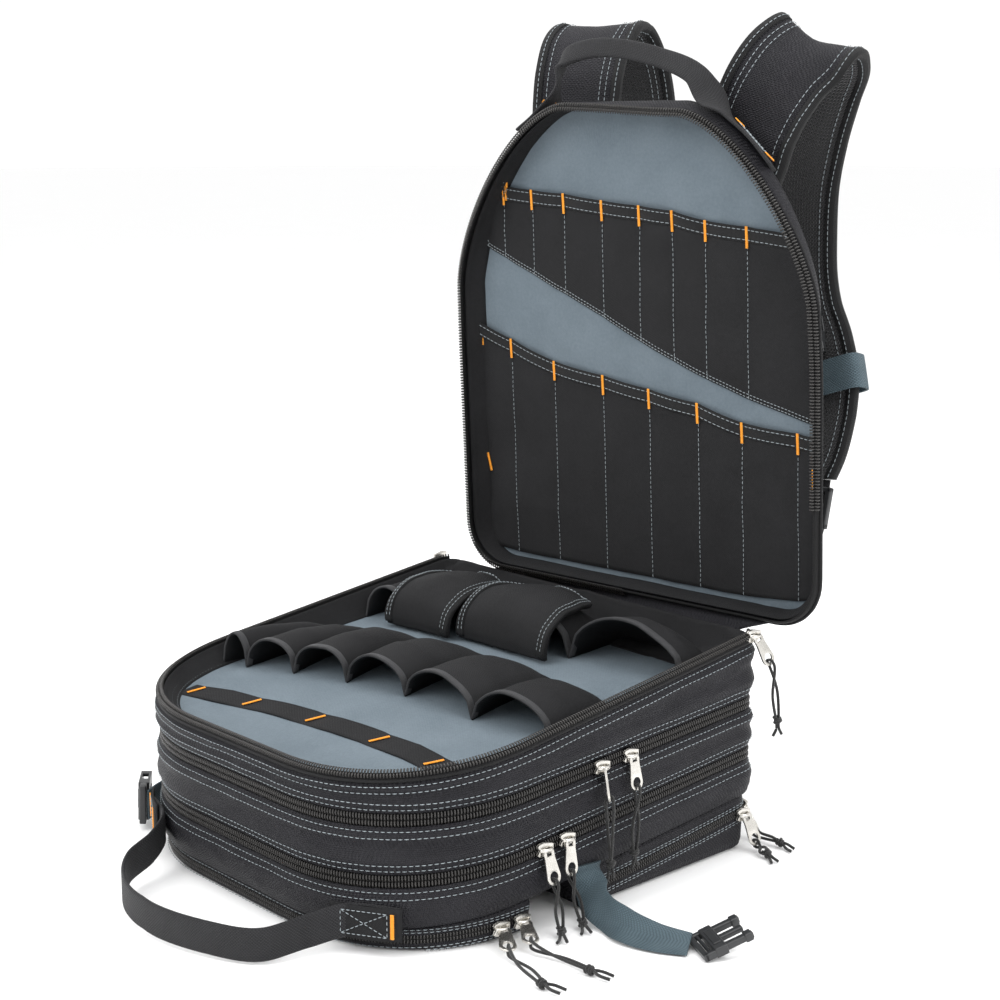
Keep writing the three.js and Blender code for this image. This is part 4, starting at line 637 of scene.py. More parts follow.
def fold_out(share):
    """The gusset's two soft folds, smoothly through the CAD's stations."""
    share = np.clip(share, 0, 1)
    i = np.clip(np.searchsorted(FOLD_HEIGHTS, share, side="right") - 1, 0, 3)
    a, b = FOLD_HEIGHTS[i], FOLD_HEIGHTS[i + 1]
    w = (share - a) / (b - a)
    return lerp(FOLD_OUTS[i], FOLD_OUTS[i + 1], w * w * (3 - 2 * w))


def gusset(name, low_at, high_at, seed, node):
    x, s, nx, ns, run, t = ring_frame()
    share = np.linspace(0, 1, 17)
    z_low, z_high = low_at(t), high_at(t)
    grid_share, grid_run = np.meshgrid(share, run)
    z = z_low[:, None] + (z_high - z_low)[:, None] * share[None]

    def out_at(share, run, z):
        wear = rumple(run, z, 34.0, 11.0, seed) * np.sin(math.pi * np.clip(share, 0, 1)) ** 0.7
        return fold_out(share) + GUSSET_WEAR * wear

    grid = wall_point(x[:, None], s[:, None], nx[:, None], ns[:, None], out_at(grid_share, grid_run, z), z)
    surface(name, grid, BLACK, thick=1.6, close_u=True, replaces=[node], flip=True)
    for at, side in ((z_low, 1), (z_high, -1)):
        stitch_lines.extend(wall_stitches(at, (3.0, 7.6), side, out_at, z_high - z_low))


def wall_stitches(at, offsets, side, out_at, height):
    parts = []
    x, s, nx, ns, run, _ = ring_frame()
    for offset in offsets:
        share = offset / height if side > 0 else 1 - offset / height
        z = at + side * offset
        path = wall_point(x, s, nx, ns, out_at(share, run, z) + 0.35, z)
        normal = np.stack([nx, -ns, np.zeros_like(nx)], axis=1)
        parts += stitch(path, normal)
    return parts


stitch_lines = []
coil_lines = []
zip_edge = ZIP_TAPE / 2 + SEAM_GAP
gusset("gusset_upper", lambda t: seam("upper", t) + zip_edge - 4, lambda t: seam("rim", t), 3,
       "upper_gusset")
gusset("gusset_middle", lambda t: seam("lower", t) + zip_edge - 4,
       lambda t: seam("upper", t) - zip_edge + 4, 8, "middle_gusset")


def zip_band(name, level, node):
    x, s, nx, ns, _, t = ring_frame()
    middle = seam(level, t)
    offsets = np.linspace(-zip_edge, zip_edge, 9)
    out = -0.4 - 1.2 * (np.abs(offsets) / zip_edge) ** 2
    grid = wall_point(x[:, None], s[:, None], nx[:, None], ns[:, None], out[None],
                      middle[:, None] + offsets[None])
    surface(name, grid, TAPE, thick=1.2, close_u=True, replaces=[node], flip=True)
    path = wall_point(x, s, nx, ns, 0.1, middle)
    normal = np.stack([nx, -ns, np.zeros_like(nx)], axis=1)
    coil_lines.extend(teeth(path, normal, width=9.0))


zip_band("zip_upper_tape", "upper", "upper_zip")
zip_band("zip_lower_tape", "lower", "lower_zip")


def shell():
    """The lowest gusset and the front face under it."""
    x, s, nx, ns, run, t = ring_frame()
    top = seam("lower", t) - zip_edge + 4
    foot = front_height(t)
    share = np.concatenate([[-0.42, -0.2, -0.06], np.linspace(0.04, 1, 17)])
    out_of = lambda q: np.interp(q, [-0.42, -0.2, -0.06, 0.1, 0.35, 0.6, 1],
                                 [-26.0, -9.0, -3.0, 1.2, 3.2, 3.6, 0.8])
    z = np.maximum(foot[:, None], foot[:, None] + (top - foot)[:, None] * share[None])
    grid_share, grid_run = np.meshgrid(share, run)

    def out_at(share, run, z):
        wear = rumple(run, z, 36.0, 13.0, 21) * np.sin(math.pi * np.clip(share, 0, 1)) ** 0.7
        return out_of(share) + GUSSET_WEAR * wear

    grid = wall_point(x[:, None], s[:, None], nx[:, None], ns[:, None], out_at(grid_share, grid_run, z), z)
    surface("front_shell_wall", grid, BLACK, thick=1.6, close_u=True, flip=True)
    stitch_lines.extend(wall_stitches(top, (3.0, 7.6), -1, out_at, top - foot))
    us = np.linspace(-1, 1, 41)
    ss = np.linspace(4, BASE_LENGTH - 4, 45)
    half = BASE.half_at(ss, 4.0)
    gx = us[None] * half[:, None]
    gs = np.repeat(ss[:, None], len(us), axis=1)
    gz = front_height(gs / BASE_LENGTH) + 0.3
    surface("front_shell_face", np.stack([gx, -gs, gz], axis=-1), BLACK, thick=1.6,
            replaces=["front_shell"])


shell()


def rim():
    """The open zip round the tray, with the piping under it."""
    keep = slice(3, len(BASE.x) - 3)
    x, s, nx, ns, t = (v[keep] for v in (BASE.x, BASE.s, BASE.nx, BASE.ns, BASE.t))
    base = seam("rim", t)
    lift = [0.0, 2.5, 5.0, 6.4]
    outs = [0.9, 1.0, 0.5, -0.2]
    grid = wall_point(x[:, None], s[:, None], nx[:, None], ns[:, None], np.array(outs)[None],
                      base[:, None] + np.array(lift)[None])
    surface("rim_zip_tape", grid, TAPE, thick=1.3, replaces=["rim_zip"], flip=True)
    normal = np.stack([nx * 0.55, -ns * 0.55, np.full_like(nx, 0.83)], axis=1)
    path = wall_point(x, s, nx, ns, 0.5, base + 6.0)
    coil_lines.extend(teeth(path, normal, width=7.0, tall=1.1))
    piping = wall_point(x, s, nx, ns, 1.1, base + 0.9)
    tube("rim_piping", piping, 1.5, BINDING)


rim()


# The pockets on the front face.

def face_pocket(name, seed, node, zip_node, zip_share, span, zip_name):
    """A shallow compartment under the front face: a wall round an arc of the outline, and a flat bottom."""
    start, end = span
    arc = np.where((BASE.s >= start) & (BASE.s <= end))[0]
    if start <= 0:
        right, left = arc[arc < len(BASE.x) / 2], arc[arc > len(BASE.x) / 2]
        order = np.concatenate([left, right])
        x, s = BASE.x[order], BASE.s[order]
        nx, ns = BASE.nx[order], BASE.ns[order]
        gap = np.argmax(np.abs(np.diff(x)))
        q = np.linspace(0, 1, 60)[1:-1]
        ins = gap + 1
        x = np.insert(x, ins, lerp(x[gap], x[gap + 1], q))
        s = np.insert(s, ins, np.zeros(58))
        nx = np.insert(nx, ins, np.zeros(58))
        ns = np.insert(ns, ins, -np.ones(58))
    else:
        x, s, nx, ns = BASE.x[arc], BASE.s[arc], BASE.nx[arc], BASE.ns[arc]
    cut_x = np.linspace(x[-1], x[0], 60)[1:-1]
    cut_s = np.full(58, end if start <= 0 else start)
    cut_n = 1.0 if start <= 0 else -1.0
    x = np.concatenate([x, cut_x])
    s = np.concatenate([s, cut_s])
    nx = np.concatenate([nx, np.zeros(58)])
    ns = np.concatenate([ns, np.full(58, cut_n)])
    for _ in range(2):
        nx = (np.roll(nx, 1) + nx * 2 + np.roll(nx, -1)) / 4
        ns = (np.roll(ns, 1) + ns * 2 + np.roll(ns, -1)) / 4
    run = np.concatenate([[0], np.cumsum(np.hypot(np.diff(x), np.diff(s)))])
    t = s / BASE_LENGTH
    top = front_height(t)
    share = np.concatenate([[0, 0, 0.0, 0.06, 0.18], np.linspace(0.3, 1, 9)])
    inward = np.interp(np.arange(len(share)), [0, 1, 2, 3, 4, 8, 12, 13],
                       [-40, -14, -4.5, -1.2, 0.4, 0.9, 0.5, -0.4])
    z = top[:, None] * share[None]
    z[:, 0] = z[:, 1] = 0.15
    grid_run = np.repeat(run[:, None], len(share), axis=1)
    wear = rumple(grid_run, z, 30.0, 12.0, seed) * np.clip(z / 8, 0, 1)
    wear = wear * np.clip((top[:, None] - z) / 5, 0, 1)
    out = inward[None] - POCKET_INSET + 1.3 * wear
    middle = top * zip_share(t)
    groove = np.exp(-((z - middle[:, None]) / 4.2) ** 2)
    out = out - 2.0 * groove
    grid = wall_point(x[:, None], s[:, None], nx[:, None], ns[:, None], out, z)
    surface(name, grid, BLACK, thick=1.2, close_u=True, replaces=[node], flip=True)
    inner = [wall_point(x, s, nx, ns, inward[0] - POCKET_INSET, np.full_like(x, 0.15))]
    centre = inner[0].mean(axis=0)
    for scale in (0.75, 0.45, 0.12):
        inner.append(centre + (inner[0] - centre) * scale)
    surface(name + "_base", np.stack(inner, axis=1), BLACK, thick=1.0, close_u=True)
    outer = np.arange(len(x) - 58)
    path = wall_point(x, s, nx, ns, -POCKET_INSET - 1.0, middle)[outer]
    normal = np.stack([nx, -ns, np.zeros_like(nx)], axis=1)[outer]
    tape = sweep(path, np.broadcast_to(A(0, 0, 1), path.shape), normal,
                 [(-4.4, -0.4), (-2, 0.1), (2, 0.1), (4.4, -0.4)])
    surface(zip_name, tape, TAPE, thick=0.8, replaces=[zip_node], flip=False)
    coil_lines.extend(teeth(path + normal * 0.5, normal, width=6.4, tall=0.9))
    for offset in (5.4, 7.4):
        for side in (-1, 1):
            line = wall_point(x, s, nx, ns, -POCKET_INSET + 0.9, middle + side * offset)[outer]
            keep = (line[:, 2] > 1.5) & (line[:, 2] < top[outer] - 1.0)
            for chunk in np.split(np.arange(len(keep)), np.where(np.diff(keep.astype(int)))[0] + 1):
                if len(chunk) > 4 and keep[chunk[0]]:
                    stitch_lines.extend(stitch(line[chunk], normal[chunk]))


face_pocket("pocket_bottom", 31, "bottom_pocket", "bottom_pocket_zip",
            lambda t: lerp(0.7, 0.42, np.minimum(1, t * 1.9)), (0.0, BOTTOM_POCKET_LENGTH),
            "zip_bottom_tape")
face_pocket("pocket_top", 35, "top_pocket", "top_pocket_zip",
            lambda t: np.full_like(t, 0.5), (BASE_LENGTH - TOP_POCKET_LENGTH, BASE_LENGTH), "zip_top_tape")


# The tray.

def tray_surface(x, s, lift=0.0):
    away = BASE.distance(np.asarray(x, float), np.asarray(s, float))
    z = tray_height(x, s)
    wall = seam("rim", np.clip(s / BASE_LENGTH, 0, 1)) - 1.0 - z
    rise = 1 - smooth(2.5, 15.0, away)
    soft = rumple(np.asarray(x, float), np.asarray(s, float), 55.0, 46.0, 41)
    return z + wall * rise + 1.2 * soft * (1 - rise) + lift


stitch_dark = []


def tray():
    vs = np.linspace(-1, 1, 121)
    vs = np.sign(vs) * (1 - (1 - np.abs(vs)) ** 1.15)
    ss = BASE_LENGTH * (0.5 - 0.5 * np.cos(np.linspace(0, math.pi, 111)))
    ss = np.clip(ss, 2.6, BASE_LENGTH - 2.8)
    half = BASE.half_at(ss, 2.8)
    x = vs[None] * half[:, None]
    s = np.repeat(ss[:, None], len(vs), axis=1)
    z = tray_surface(x, s)
    surface("tray_lining_cloth", np.stack([x, -s, z], axis=-1), LINING, thick=1.2,
            replaces=["tray_lining"], flip=True)
    x, s, nx, ns, _ = BASE.closed(90)
    inward = np.array([2.4, 3.4, 5.0, 7.0, 9.0, 11.0, 13.0, 14.6])
    px, ps = x[:, None] - nx[:, None] * inward, s[:, None] - ns[:, None] * inward
    lift = np.interp(inward, [2.4, 4.0, 13.0, 14.6], [5.2, 2.2, 1.6, 0.6])
    wall = np.stack([px, -ps, tray_surface(px, ps) + lift], axis=-1)
    surface("tray_wall", wall, CANVAS, thick=0.8, close_u=True, flip=False)
    for k in (4, 6):
        stitch_dark.extend(stitch(wall[:, k] + A(0, 0, 0.5), A(0, 0, 1), long=2.2, pitch=3.6))


def tray_yoke():
    """The dark cloth of the pocket row, sewn on to the hinge and to both walls."""
    xs = np.linspace(-HALF + 4.5, HALF - 4.5, 121)
    front = 38.0 + 62.0 * smooth(HALF - 34, HALF - 12, xs) + 66.0 * smooth(HALF - 30, HALF - 12, -xs)
    share = np.linspace(0, 1, 25)
    s = 3.4 + (front[:, None] - 3.4) * share[None]
    x = np.repeat(xs[:, None], 25, axis=1)
    rise = 13.0 * np.exp(-((s - 24.0) / 20.0) ** 2) * (0.6 + 0.4 * np.cos(x / 26.0))
    rise = rise * smooth(0, 26, HALF - np.abs(x))
    z = tray_surface(x, s) + 1.8 + rise * smooth(0, 0.3, 1 - share)[None]
    z = z + 1.6 * rumple(x, s, 26.0, 22.0, 57)
    surface("hinge_pocket_yoke", np.stack([x, -s, z], axis=-1), CANVAS, thick=1.2, flip=True)


tray()
tray_yoke()

TAPER_ALONG = np.array([0, 0.35, 0.7, 0.93, 1.0])
TAPER_RISE = np.array([1, 0.94, 0.66, 0.28, 0.06])
NEAR_ROW = np.array([[-0.468, 0.71, -0.455, 0.43], [-0.4, 0.695, -0.4, 0.41], [-0.27, 0.66, -0.33, 0.37],
                     [-0.12, 0.628, -0.19, 0.345], [0.05, 0.605, 0.02, 0.335], [0.255, 0.6, 0.23, 0.345],
                     [0.455, 0.575, 0.43, 0.37]])
HINGE_ROW = np.array([[-0.462, 0.3, -0.458, 0.06], [-0.365, 0.265, -0.36, 0.055],
                      [-0.14, 0.245, -0.13, 0.05], [0.155, 0.225, 0.16, 0.05],
                      [0.455, 0.19, 0.45, 0.055]])
HINGE_HEIGHTS = np.array([0.7, 0.8, 0.86, 0.95]) * HINGE_POCKET_HEIGHT
SCALE = A(BAG_WIDTH, BASE_LENGTH, BAG_WIDTH, BASE_LENGTH)


def dome(q):
    """Smooth version of the pleat's rise across a pocket."""
    return np.clip(np.sin(math.pi * np.clip(q, 0, 1)), 0, 1) ** 0.42


def pocket_row(name, rows, heights, node, seed):
    rows = rows * SCALE
    along = np.linspace(0, 1, 15)
    across = np.linspace(0, 1, 17)
    taper = np.interp(along, TAPER_ALONG, TAPER_RISE)
    grid = []
    for i, height in enumerate(heights):
        a = rows[i, None, :2] + (rows[i, None, 2:] - rows[i, None, :2]) * along[:, None]
        b = rows[i + 1, None, :2] + (rows[i + 1, None, 2:] - rows[i + 1, None, :2]) * along[:, None]
        q = across if i == len(heights) - 1 else across[:-1]
        plan = a[:, None] + (b - a)[:, None] * q[None, :, None]
        rise = height * taper[:, None] * dome(q)[None]
        sway = noise3(np.stack([plan[..., 0] / 24, plan[..., 1] / 24, np.full(plan.shape[:2], seed)], -1),
                      seed)
        rise = rise * (1 + 0.07 * sway)
        z = tray_surface(plan[..., 0], plan[..., 1]) + 1.6 + rise
        grid.append(np.stack([plan[..., 0], -plan[..., 1], z], axis=-1))
    grid = np.concatenate(grid, axis=1)
    surface(name, grid, CANVAS, thick=1.5, replaces=[node], flip=True)
    return grid


def bind(name, edge, inside, width=8.0, thick=2.6, material=None):
    """Binding folded over a cloth edge: edge is the line and inside points one step into the cloth."""
    edge, inside = resample(edge, 2.5, inside)
    into = unit(inside - edge)
    tangent = unit(np.gradient(edge, axis=0))
    normal = unit(np.cross(tangent, into))
    t = thick / 2
    profile = [(-0.9, 0), (-0.5, t * 0.8), (0.4, t), (width - 0.6, t * 0.85), (width, 0.2), (width, -0.2),
               (width - 0.6, -t * 0.85), (0.4, -t), (-0.5, -t * 0.8)]
    grid = sweep(edge, into, normal, profile)
    obj = surface(name, grid, material or BINDING, close_v=True)
    cap(obj)
    return edge, into, normal


near_grid = pocket_row("near_pockets", NEAR_ROW, np.full(NEAR_POCKET_COUNT, NEAR_POCKET_HEIGHT),
                       "near_pocket_row", 51)
bind("near_pockets_binding", near_grid[0], near_grid[1], width=5.5, thick=2.1, material=GREY_BINDING)
hinge_grid = pocket_row("hinge_pockets", HINGE_ROW, HINGE_HEIGHTS, "hinge_pocket_row", 61)
bind("hinge_pockets_binding", hinge_grid[0], hinge_grid[1], width=6.0, thick=2.2, material=GREY_BINDING)

FLAP_RUN = np.array([[-0.3, 0, 0.98], [-0.31, 0.3, 1], [-0.22, 0.85, 1], [-0.02, 1.14, 1],
                     [0.25, 1.2, 0.97], [0.5, 1.1, 0.86], [0.68, 0.96, 0.66], [0.8, 0.86, 0.3]])


def flap(name, index, node, seed):
    rows = HINGE_ROW * SCALE
    height = HINGE_HEIGHTS[index]
    a, b = rows[index], rows[index + 1]
    mouth, back = (a[:2] + b[:2]) / 2, (a[2:] + b[2:]) / 2
    width = (b[0] - a[0]) * 0.97
    run = spline(FLAP_RUN, 41)
    across = np.linspace(-0.5, 0.5, 31)
    x = lerp(mouth[0], back[0], run[:, 0])[:, None] + across[None] * width * run[:, 2][:, None]
    s = np.repeat(lerp(mouth[1], back[1], run[:, 0])[:, None], len(across), axis=1)
    droop = 8.0 * (across[None] * 2) ** 2 * np.minimum(1, run[:, 1])[:, None]
    z = tray_surface(x, s) + 2.6 + height * np.maximum(run[:, 1], 0)[:, None] - droop
    z = z + 1.3 * rumple(x, s, 30.0, 24.0, seed) * np.minimum(1, run[:, 1])[:, None] + 1.6
    grid = np.stack([x, -s, z], axis=-1)
    surface(name, grid, CANVAS, thick=3.2, replaces=[node], flip=True)
    edge = np.concatenate([grid[2:-1, 0], grid[-1], grid[2:-1, -1][::-1]])
    inner = np.concatenate([grid[2:-1, 2], grid[-4], grid[2:-1, -3][::-1]])
    edge, into, normal = bind(name + "_binding", edge, inner, width=8.0, thick=4.0)
    up = np.where(normal[:, 2:] < 0, -normal, normal)
    for inset, lift in ((3.2, 2.3), (7.2, 2.1)):
        stitch_dark.extend(stitch(edge + into * inset + up * lift, up, long=2.4, pitch=3.6))
    return grid


flap("flap_left_cloth", 1, "flap_left", 71)
flap("flap_right_cloth", 2, "flap_right", 75)


def loop_strip():
    run = np.array([[-0.4, 0.855], [-0.25, 0.83], [-0.08, 0.805], [0.1, 0.79], [0.27, 0.785],
                    [0.4, 0.79]]) * A(BAG_WIDTH, BASE_LENGTH)
    path = spline(np.c_[run, np.zeros(6)], 101)[:, :2]
    tangent = unit(np.gradient(path, axis=0))
    side = np.stack([-tangent[:, 1], tangent[:, 0]], axis=1)
    ends = [0.04, 0.26, 0.48, 0.7, 0.93]
    share = np.linspace(0, 1, 101)
    hump = np.zeros(101)
    for a, b in zip(ends[:-1], ends[1:]):
        inside = (share >= a) & (share <= b)
        hump[inside] = np.sin(math.pi * (share[inside] - a) / (b - a)) ** 0.8 * 1.1
    across = np.linspace(-0.5, 0.5, 7) * LOOP_STRIP_WIDTH
    plan = path[:, None] + side[:, None] * across[None, :, None]
    z = tray_surface(plan[..., 0], plan[..., 1]) + 1.6 + hump[:, None]
    grid = np.stack([plan[..., 0], -plan[..., 1], z], axis=-1)
    surface("loop_strip_cloth", grid, CANVAS, thick=1.4, replaces=["loop_strip"], flip=True)
    for q in ends:
        i, j = int(q * 100) + 1, int(q * 100) - 1
        tacks.extend(tack(grid[i, 1] + A(0, 0, 0.7), grid[j, -2] + A(0, 0, 0.7), A(0, 0, 1)))


tacks = []
loop_strip()


# The back panel.

WALL_DEPTHS = [7.0, 15.0, 25.0, 33.0, 38.0]
WALL_OUTS = [0.0, -6.0, -15.0, -20.0, -36.0]
PANEL_FRONT = 6.6


def lean_of(nx):
    return lerp(0.3, 1.0, np.minimum(1, nx * nx))


def rim_turn(x, s):
    return smooth(0.45, 0.9, s / PANEL_HEIGHT) * (2.7 + 6.3 * smooth(-70, 70, x))


def panel_ring(count=60):
    x, s, nx, ns, run = PANEL.closed(count)
    lean = lean_of(nx)
    for _ in range(4):
        lean = (np.roll(lean, 1) + lean * 2 + np.roll(lean, -1)) / 4
    return x, s, nx, ns, run, lean


def panel_at(x, s, nx, ns, out, depth):
    return on_panel(x + nx * out, depth, s + ns * out)


def panel_shell():
    x, s, nx, ns, run, lean = panel_ring()
    turn = rim_turn(x, s)
    depths = np.array([PANEL_FRONT, 9.0, 12.0, 15.0, 18.5, 22.0, 25.0, 29.0, 33.0, 36.0, 38.0])
    outs = np.interp(depths, WALL_DEPTHS, WALL_OUTS)
    out = outs[None] * lean[:, None]
    out = out - turn[:, None] * np.clip(1 - (depths[None] - PANEL_FRONT) / 9, 0, 1) ** 1.2
    wear = rumple(np.repeat(run[:, None], len(depths), 1), np.repeat(depths[None], len(run), 0) + 3, 40.0,
                  10.0, 81)
    out = out + 0.9 * wear * np.sin(math.pi * np.clip((depths - PANEL_FRONT) / 27, 0, 1))[None]
    grid = panel_at(x[:, None], s[:, None], nx[:, None], ns[:, None], out, depths[None])
    surface("panel_wall", grid, BLACK, thick=1.6, close_u=True, flip=False)
    inner_depths = np.array([PANEL_FRONT, 10.0, 14.0, 18.0, 22.5])
    inner = np.interp(inner_depths, WALL_DEPTHS, WALL_OUTS)[None] * lean[:, None] - 2.6
    inner = inner - turn[:, None] * np.clip(1 - (inner_depths[None] - PANEL_FRONT) / 9, 0, 1) ** 1.2
    grid = panel_at(x[:, None], s[:, None], nx[:, None], ns[:, None], inner, inner_depths[None])
    surface("panel_inner_wall", grid, CANVAS, thick=1.0, close_u=True, flip=True)
    # The padded back, quilted in three pads with channels between.
    vs = np.linspace(-1, 1, 61)
    ss = np.linspace(0.02, 0.98, 91)
    half = PANEL.half_at(ss * PANEL_HEIGHT, 36.0)
    bx = vs[None] * half[:, None]
    bs = lerp(11.0, PANEL_HEIGHT - 11.5, ss)[:, None] + np.zeros_like(bx)
    edge = smooth(0, 0.14, 1 - np.abs(vs))[None] * smooth(0, 0.06, np.minimum(ss, 1 - ss))[:, None]
    channel = np.exp(-((np.abs(bx) - 42) / 7) ** 2) + np.exp(-((bs - 130) / 7) ** 2)
    channel = channel + np.exp(-((bs - 270) / 7) ** 2)
    depth = 34.5 + 3.8 * edge - 3.0 * np.clip(channel, 0, 1) * edge
    surface("panel_back_pad", on_panel(bx, depth, bs), MESH, thick=2.0, replaces=["back_panel"], flip=False)
    # The zip round the rim.
    path = panel_at(x, s, nx, ns, -turn - 0.6, 3.4)
    outward = np.stack([nx, np.zeros_like(nx), ns], axis=1) @ ROT.T
    tape = [panel_at(x, s, nx, ns, -turn + o, d)
            for o, d in ((0.2, 7.4), (0.3, 5.4), (-0.2, 3.0), (-1.6, 1.2), (-2.6, 2.0))]
    surface("panel_zip_tape", np.stack(tape, axis=1), TAPE, thick=0.8, close_u=True,
            replaces=["back_panel_zip"])
    path = panel_at(x, s, nx, ns, -turn - 0.6, 1.6)
    normal = unit(outward * 0.62 + FACE[None] * 0.79)
    closed = lambda v: np.concatenate([v, v[:1]])
    open_end = 30
    order = np.r_[open_end:len(x) - open_end]
    panel_coil.extend(teeth(path[order], normal[order], width=8.2, pitch=2.5, tall=1.2))
    piping = panel_at(x, s, nx, ns, -turn + 0.9, 8.0)
    tube("panel_piping", closed(piping), 1.6, BINDING)
    for depth in (11.0, 13.0):
        o = (np.interp(depth, WALL_DEPTHS, WALL_OUTS) * lean
             - turn * max(0, 1 - (depth - PANEL_FRONT) / 9) ** 1.2)
        line = panel_at(x, s, nx, ns, o + 0.3, depth)
        panel_stitches.extend(stitch(closed(line), closed(outward)))


panel_coil, panel_stitches = [], []
panel_shell()


def lining_depth(x, s):
    soft = rumple(np.asarray(x, float), np.asarray(s, float), 62.0, 46.0, 91)
    return PANEL_LINING + 0.6 - 1.8 * soft


def panel_lining():
    vs = np.linspace(-1, 1, 101)
    ss = np.linspace(3.0, PANEL_HEIGHT - 5.0, 121)
    half = PANEL.half_at(ss, 10.5)
    x = vs[None] * half[:, None]
    s = np.repeat(ss[:, None], len(vs), axis=1)
    depth = lining_depth(x, s)
    surface("panel_lining_cloth", on_panel(x, depth, s), LINING, thick=1.2, replaces=["panel_lining"],
            flip=False)


panel_lining()

UPPER_TIER = np.array([[-0.5, 0.843, 0.722], [-0.44, 0.838, 0.698], [-0.386, 0.828, 0.678],
                       [-0.297, 0.82, 0.644], [-0.203, 0.814, 0.608], [-0.092, 0.802, 0.565],
                       [0.014, 0.794, 0.522], [0.105, 0.786, 0.488], [0.192, 0.769, 0.459],
                       [0.3, 0.76, 0.428], [0.5, 0.742, 0.385]])
LOWER_TIER = np.array([[-0.497, 0.543, 0.04], [-0.378, 0.502, 0.03], [-0.246, 0.463, 0.03],
                       [-0.1, 0.444, 0.03], [0.032, 0.426, 0.03], [0.168, 0.409, 0.03],
                       [0.284, 0.38, 0.03], [0.427, 0.372, 0.04], [0.5, 0.366, 0.06]])


def tool_pockets(name, tier, node, seed, diagonal):
    tier = tier * A(BAG_WIDTH, PANEL_HEIGHT, PANEL_HEIGHT)
    columns = []
    for (xa, ta, ba), (xb, tb, bb) in zip(tier[:-1], tier[1:]):
        for q in np.linspace(0, 1, 9)[:-1]:
            columns.append([lerp(xa, xb, q), lerp(ta, tb, q), lerp(ba, bb, q),
                            math.sin(math.pi * q) ** 0.8])
    columns.append([*tier[-1], 0.0])
    columns = np.array(columns)
    up = np.linspace(0, 1, 41)
    s = columns[None, :, 2] + (columns[:, 1] - columns[:, 2])[None] * up[:, None]
    half = PANEL.half_at(np.maximum(s, 40.0), 9.5)
    drop = np.maximum(0, 40.0 - s)
    half = half - (40.0 - np.sqrt(np.maximum(0, 1600 - drop ** 2)))
    x = np.clip(np.repeat(columns[None, :, 0], len(up), axis=0), -half, half)
    swell = columns[None, :, 3] * (0.25 + 0.75 * up[:, None]) * 2.6
    wear = rumple(x, s, 30.0, 60.0, seed)
    depth = np.minimum(lining_depth(x, s) - 1.4, PANEL_LINING - 0.6) - swell - 0.9 * wear
    grid = on_panel(x, depth, s)
    surface(name, grid, CANVAS, thick=1.1, replaces=[node], flip=False)
    top = on_panel(x[-1], depth[-1] - 0.5, s[-1])
    below = on_panel(x[-1], depth[-1] - 0.5, s[-1] - PANEL_HEM)
    band = np.stack([lerp(top, below, q) + FACE * b
                     for q, b in ((0, 0.1), (0.08, 0.7), (0.5, 0.85), (0.92, 0.7), (1, 0.1))], axis=0)
    surface(name + "_hem", band, BINDING, thick=1.0, flip=True)
    normal = np.broadcast_to(FACE, top.shape)
    for q in (0.16, 0.86):
        panel_stitches.extend(stitch(lerp(top, below, q) + FACE * 2.0, normal))
    for k, (xa, ta, ba) in enumerate(tier):
        if k == 0 or k == len(tier) - 1:
            continue
        i = k * 8
        line = grid[:, i] + FACE * 1.35
        panel_stitches.extend(stitch(line[:-4], FACE, long=2.6, pitch=4.0))
    if diagonal:
        for up_by in (1.4, 4.0):
            line = on_panel(x[0], depth[0] - 1.3, s[0] + up_by)
            panel_stitches.extend(stitch(line, FACE, long=2.2, pitch=3.4))
    return x, depth, s


ux, ud, us = tool_pockets("pockets_upper", UPPER_TIER, "panel_upper_pockets", 101, True)
lx, ld, ls = tool_pockets("pockets_lower", LOWER_TIER, "panel_lower_pockets", 105, False)


def tier_tacks(tier, x, depth, s, skip):
    for k in range(len(tier)):
        if k in skip:
            continue
        i = k * 8
        top = on_panel(x[-1, i], depth[-1, i] - 2.9, s[-1, i] + 1.0)
        foot = on_panel(x[-1, i] + 0.6, depth[-1, i] - 2.9, s[-1, i] - 16.0)
        tacks.extend(tack(top, foot, FACE, width=2.6))


tier_tacks(UPPER_TIER, ux, ud, us, (10,))
tier_tacks(LOWER_TIER, lx, ld, ls, (8,))


def edge_tacks():
    """Bar tacks where the lining's seam is caught down at both sides."""
    for side, s, tip in ((-1, 206.0, 0.0), (-1, 92.0, 4.0), (1, 118.0, 0.0)):
        half = float(PANEL.half_at(np.array([s]), 12.5)[0])
        x = side * half
        depth = float(lining_depth(x, s)) - 4.2
        tacks.extend(tack(on_panel(x, depth, s + 8.0), on_panel(x + tip, depth, s - 8.0), FACE, width=2.6))


edge_tacks()


# Handles.

def nearest_wall(x, s, outline):
    i = int(np.argmin((outline.x - x) ** 2 + (outline.s - s) ** 2))
    return outline.x[i], outline.s[i], outline.nx[i], outline.ns[i]


def ribbon_frames(points, sides, count):
    path = spline(points, count)
    side = unit(spline(sides, count))
    tangent = unit(np.gradient(path, axis=0))
    normal = unit(np.cross(tangent, side))
    return path, np.cross(normal, tangent), normal


def webbing(name, path, side, normal, width, thick, material, replaces=()):
    """A flat woven strap with rounded edges."""
    w, t = width / 2, thick / 2
    stations = np.array([(-w + t, -t), (-w * 0.5, -t), (0, -t), (w * 0.5, -t), (w - t, -t),
                         (w - t * 0.2, -t * 0.5), (w, 0), (w - t * 0.2, t * 0.5), (w - t, t),
                         (w * 0.5, t), (0, t), (-w * 0.5, t), (-w + t, t), (-w + t * 0.2, t * 0.5),
                         (-w, 0), (-w + t * 0.2, -t * 0.5)])
    a = np.repeat(stations[None, :, 0], len(path), axis=0)
    b = np.repeat(stations[None, :, 1], len(path), axis=0)
    grid = path[:, None] + side[:, None] * a[..., None] + normal[:, None] * b[..., None]
    obj = surface(name, grid, material, close_v=True, replaces=replaces)
    cap(obj)
    return grid


strap_stitches = []


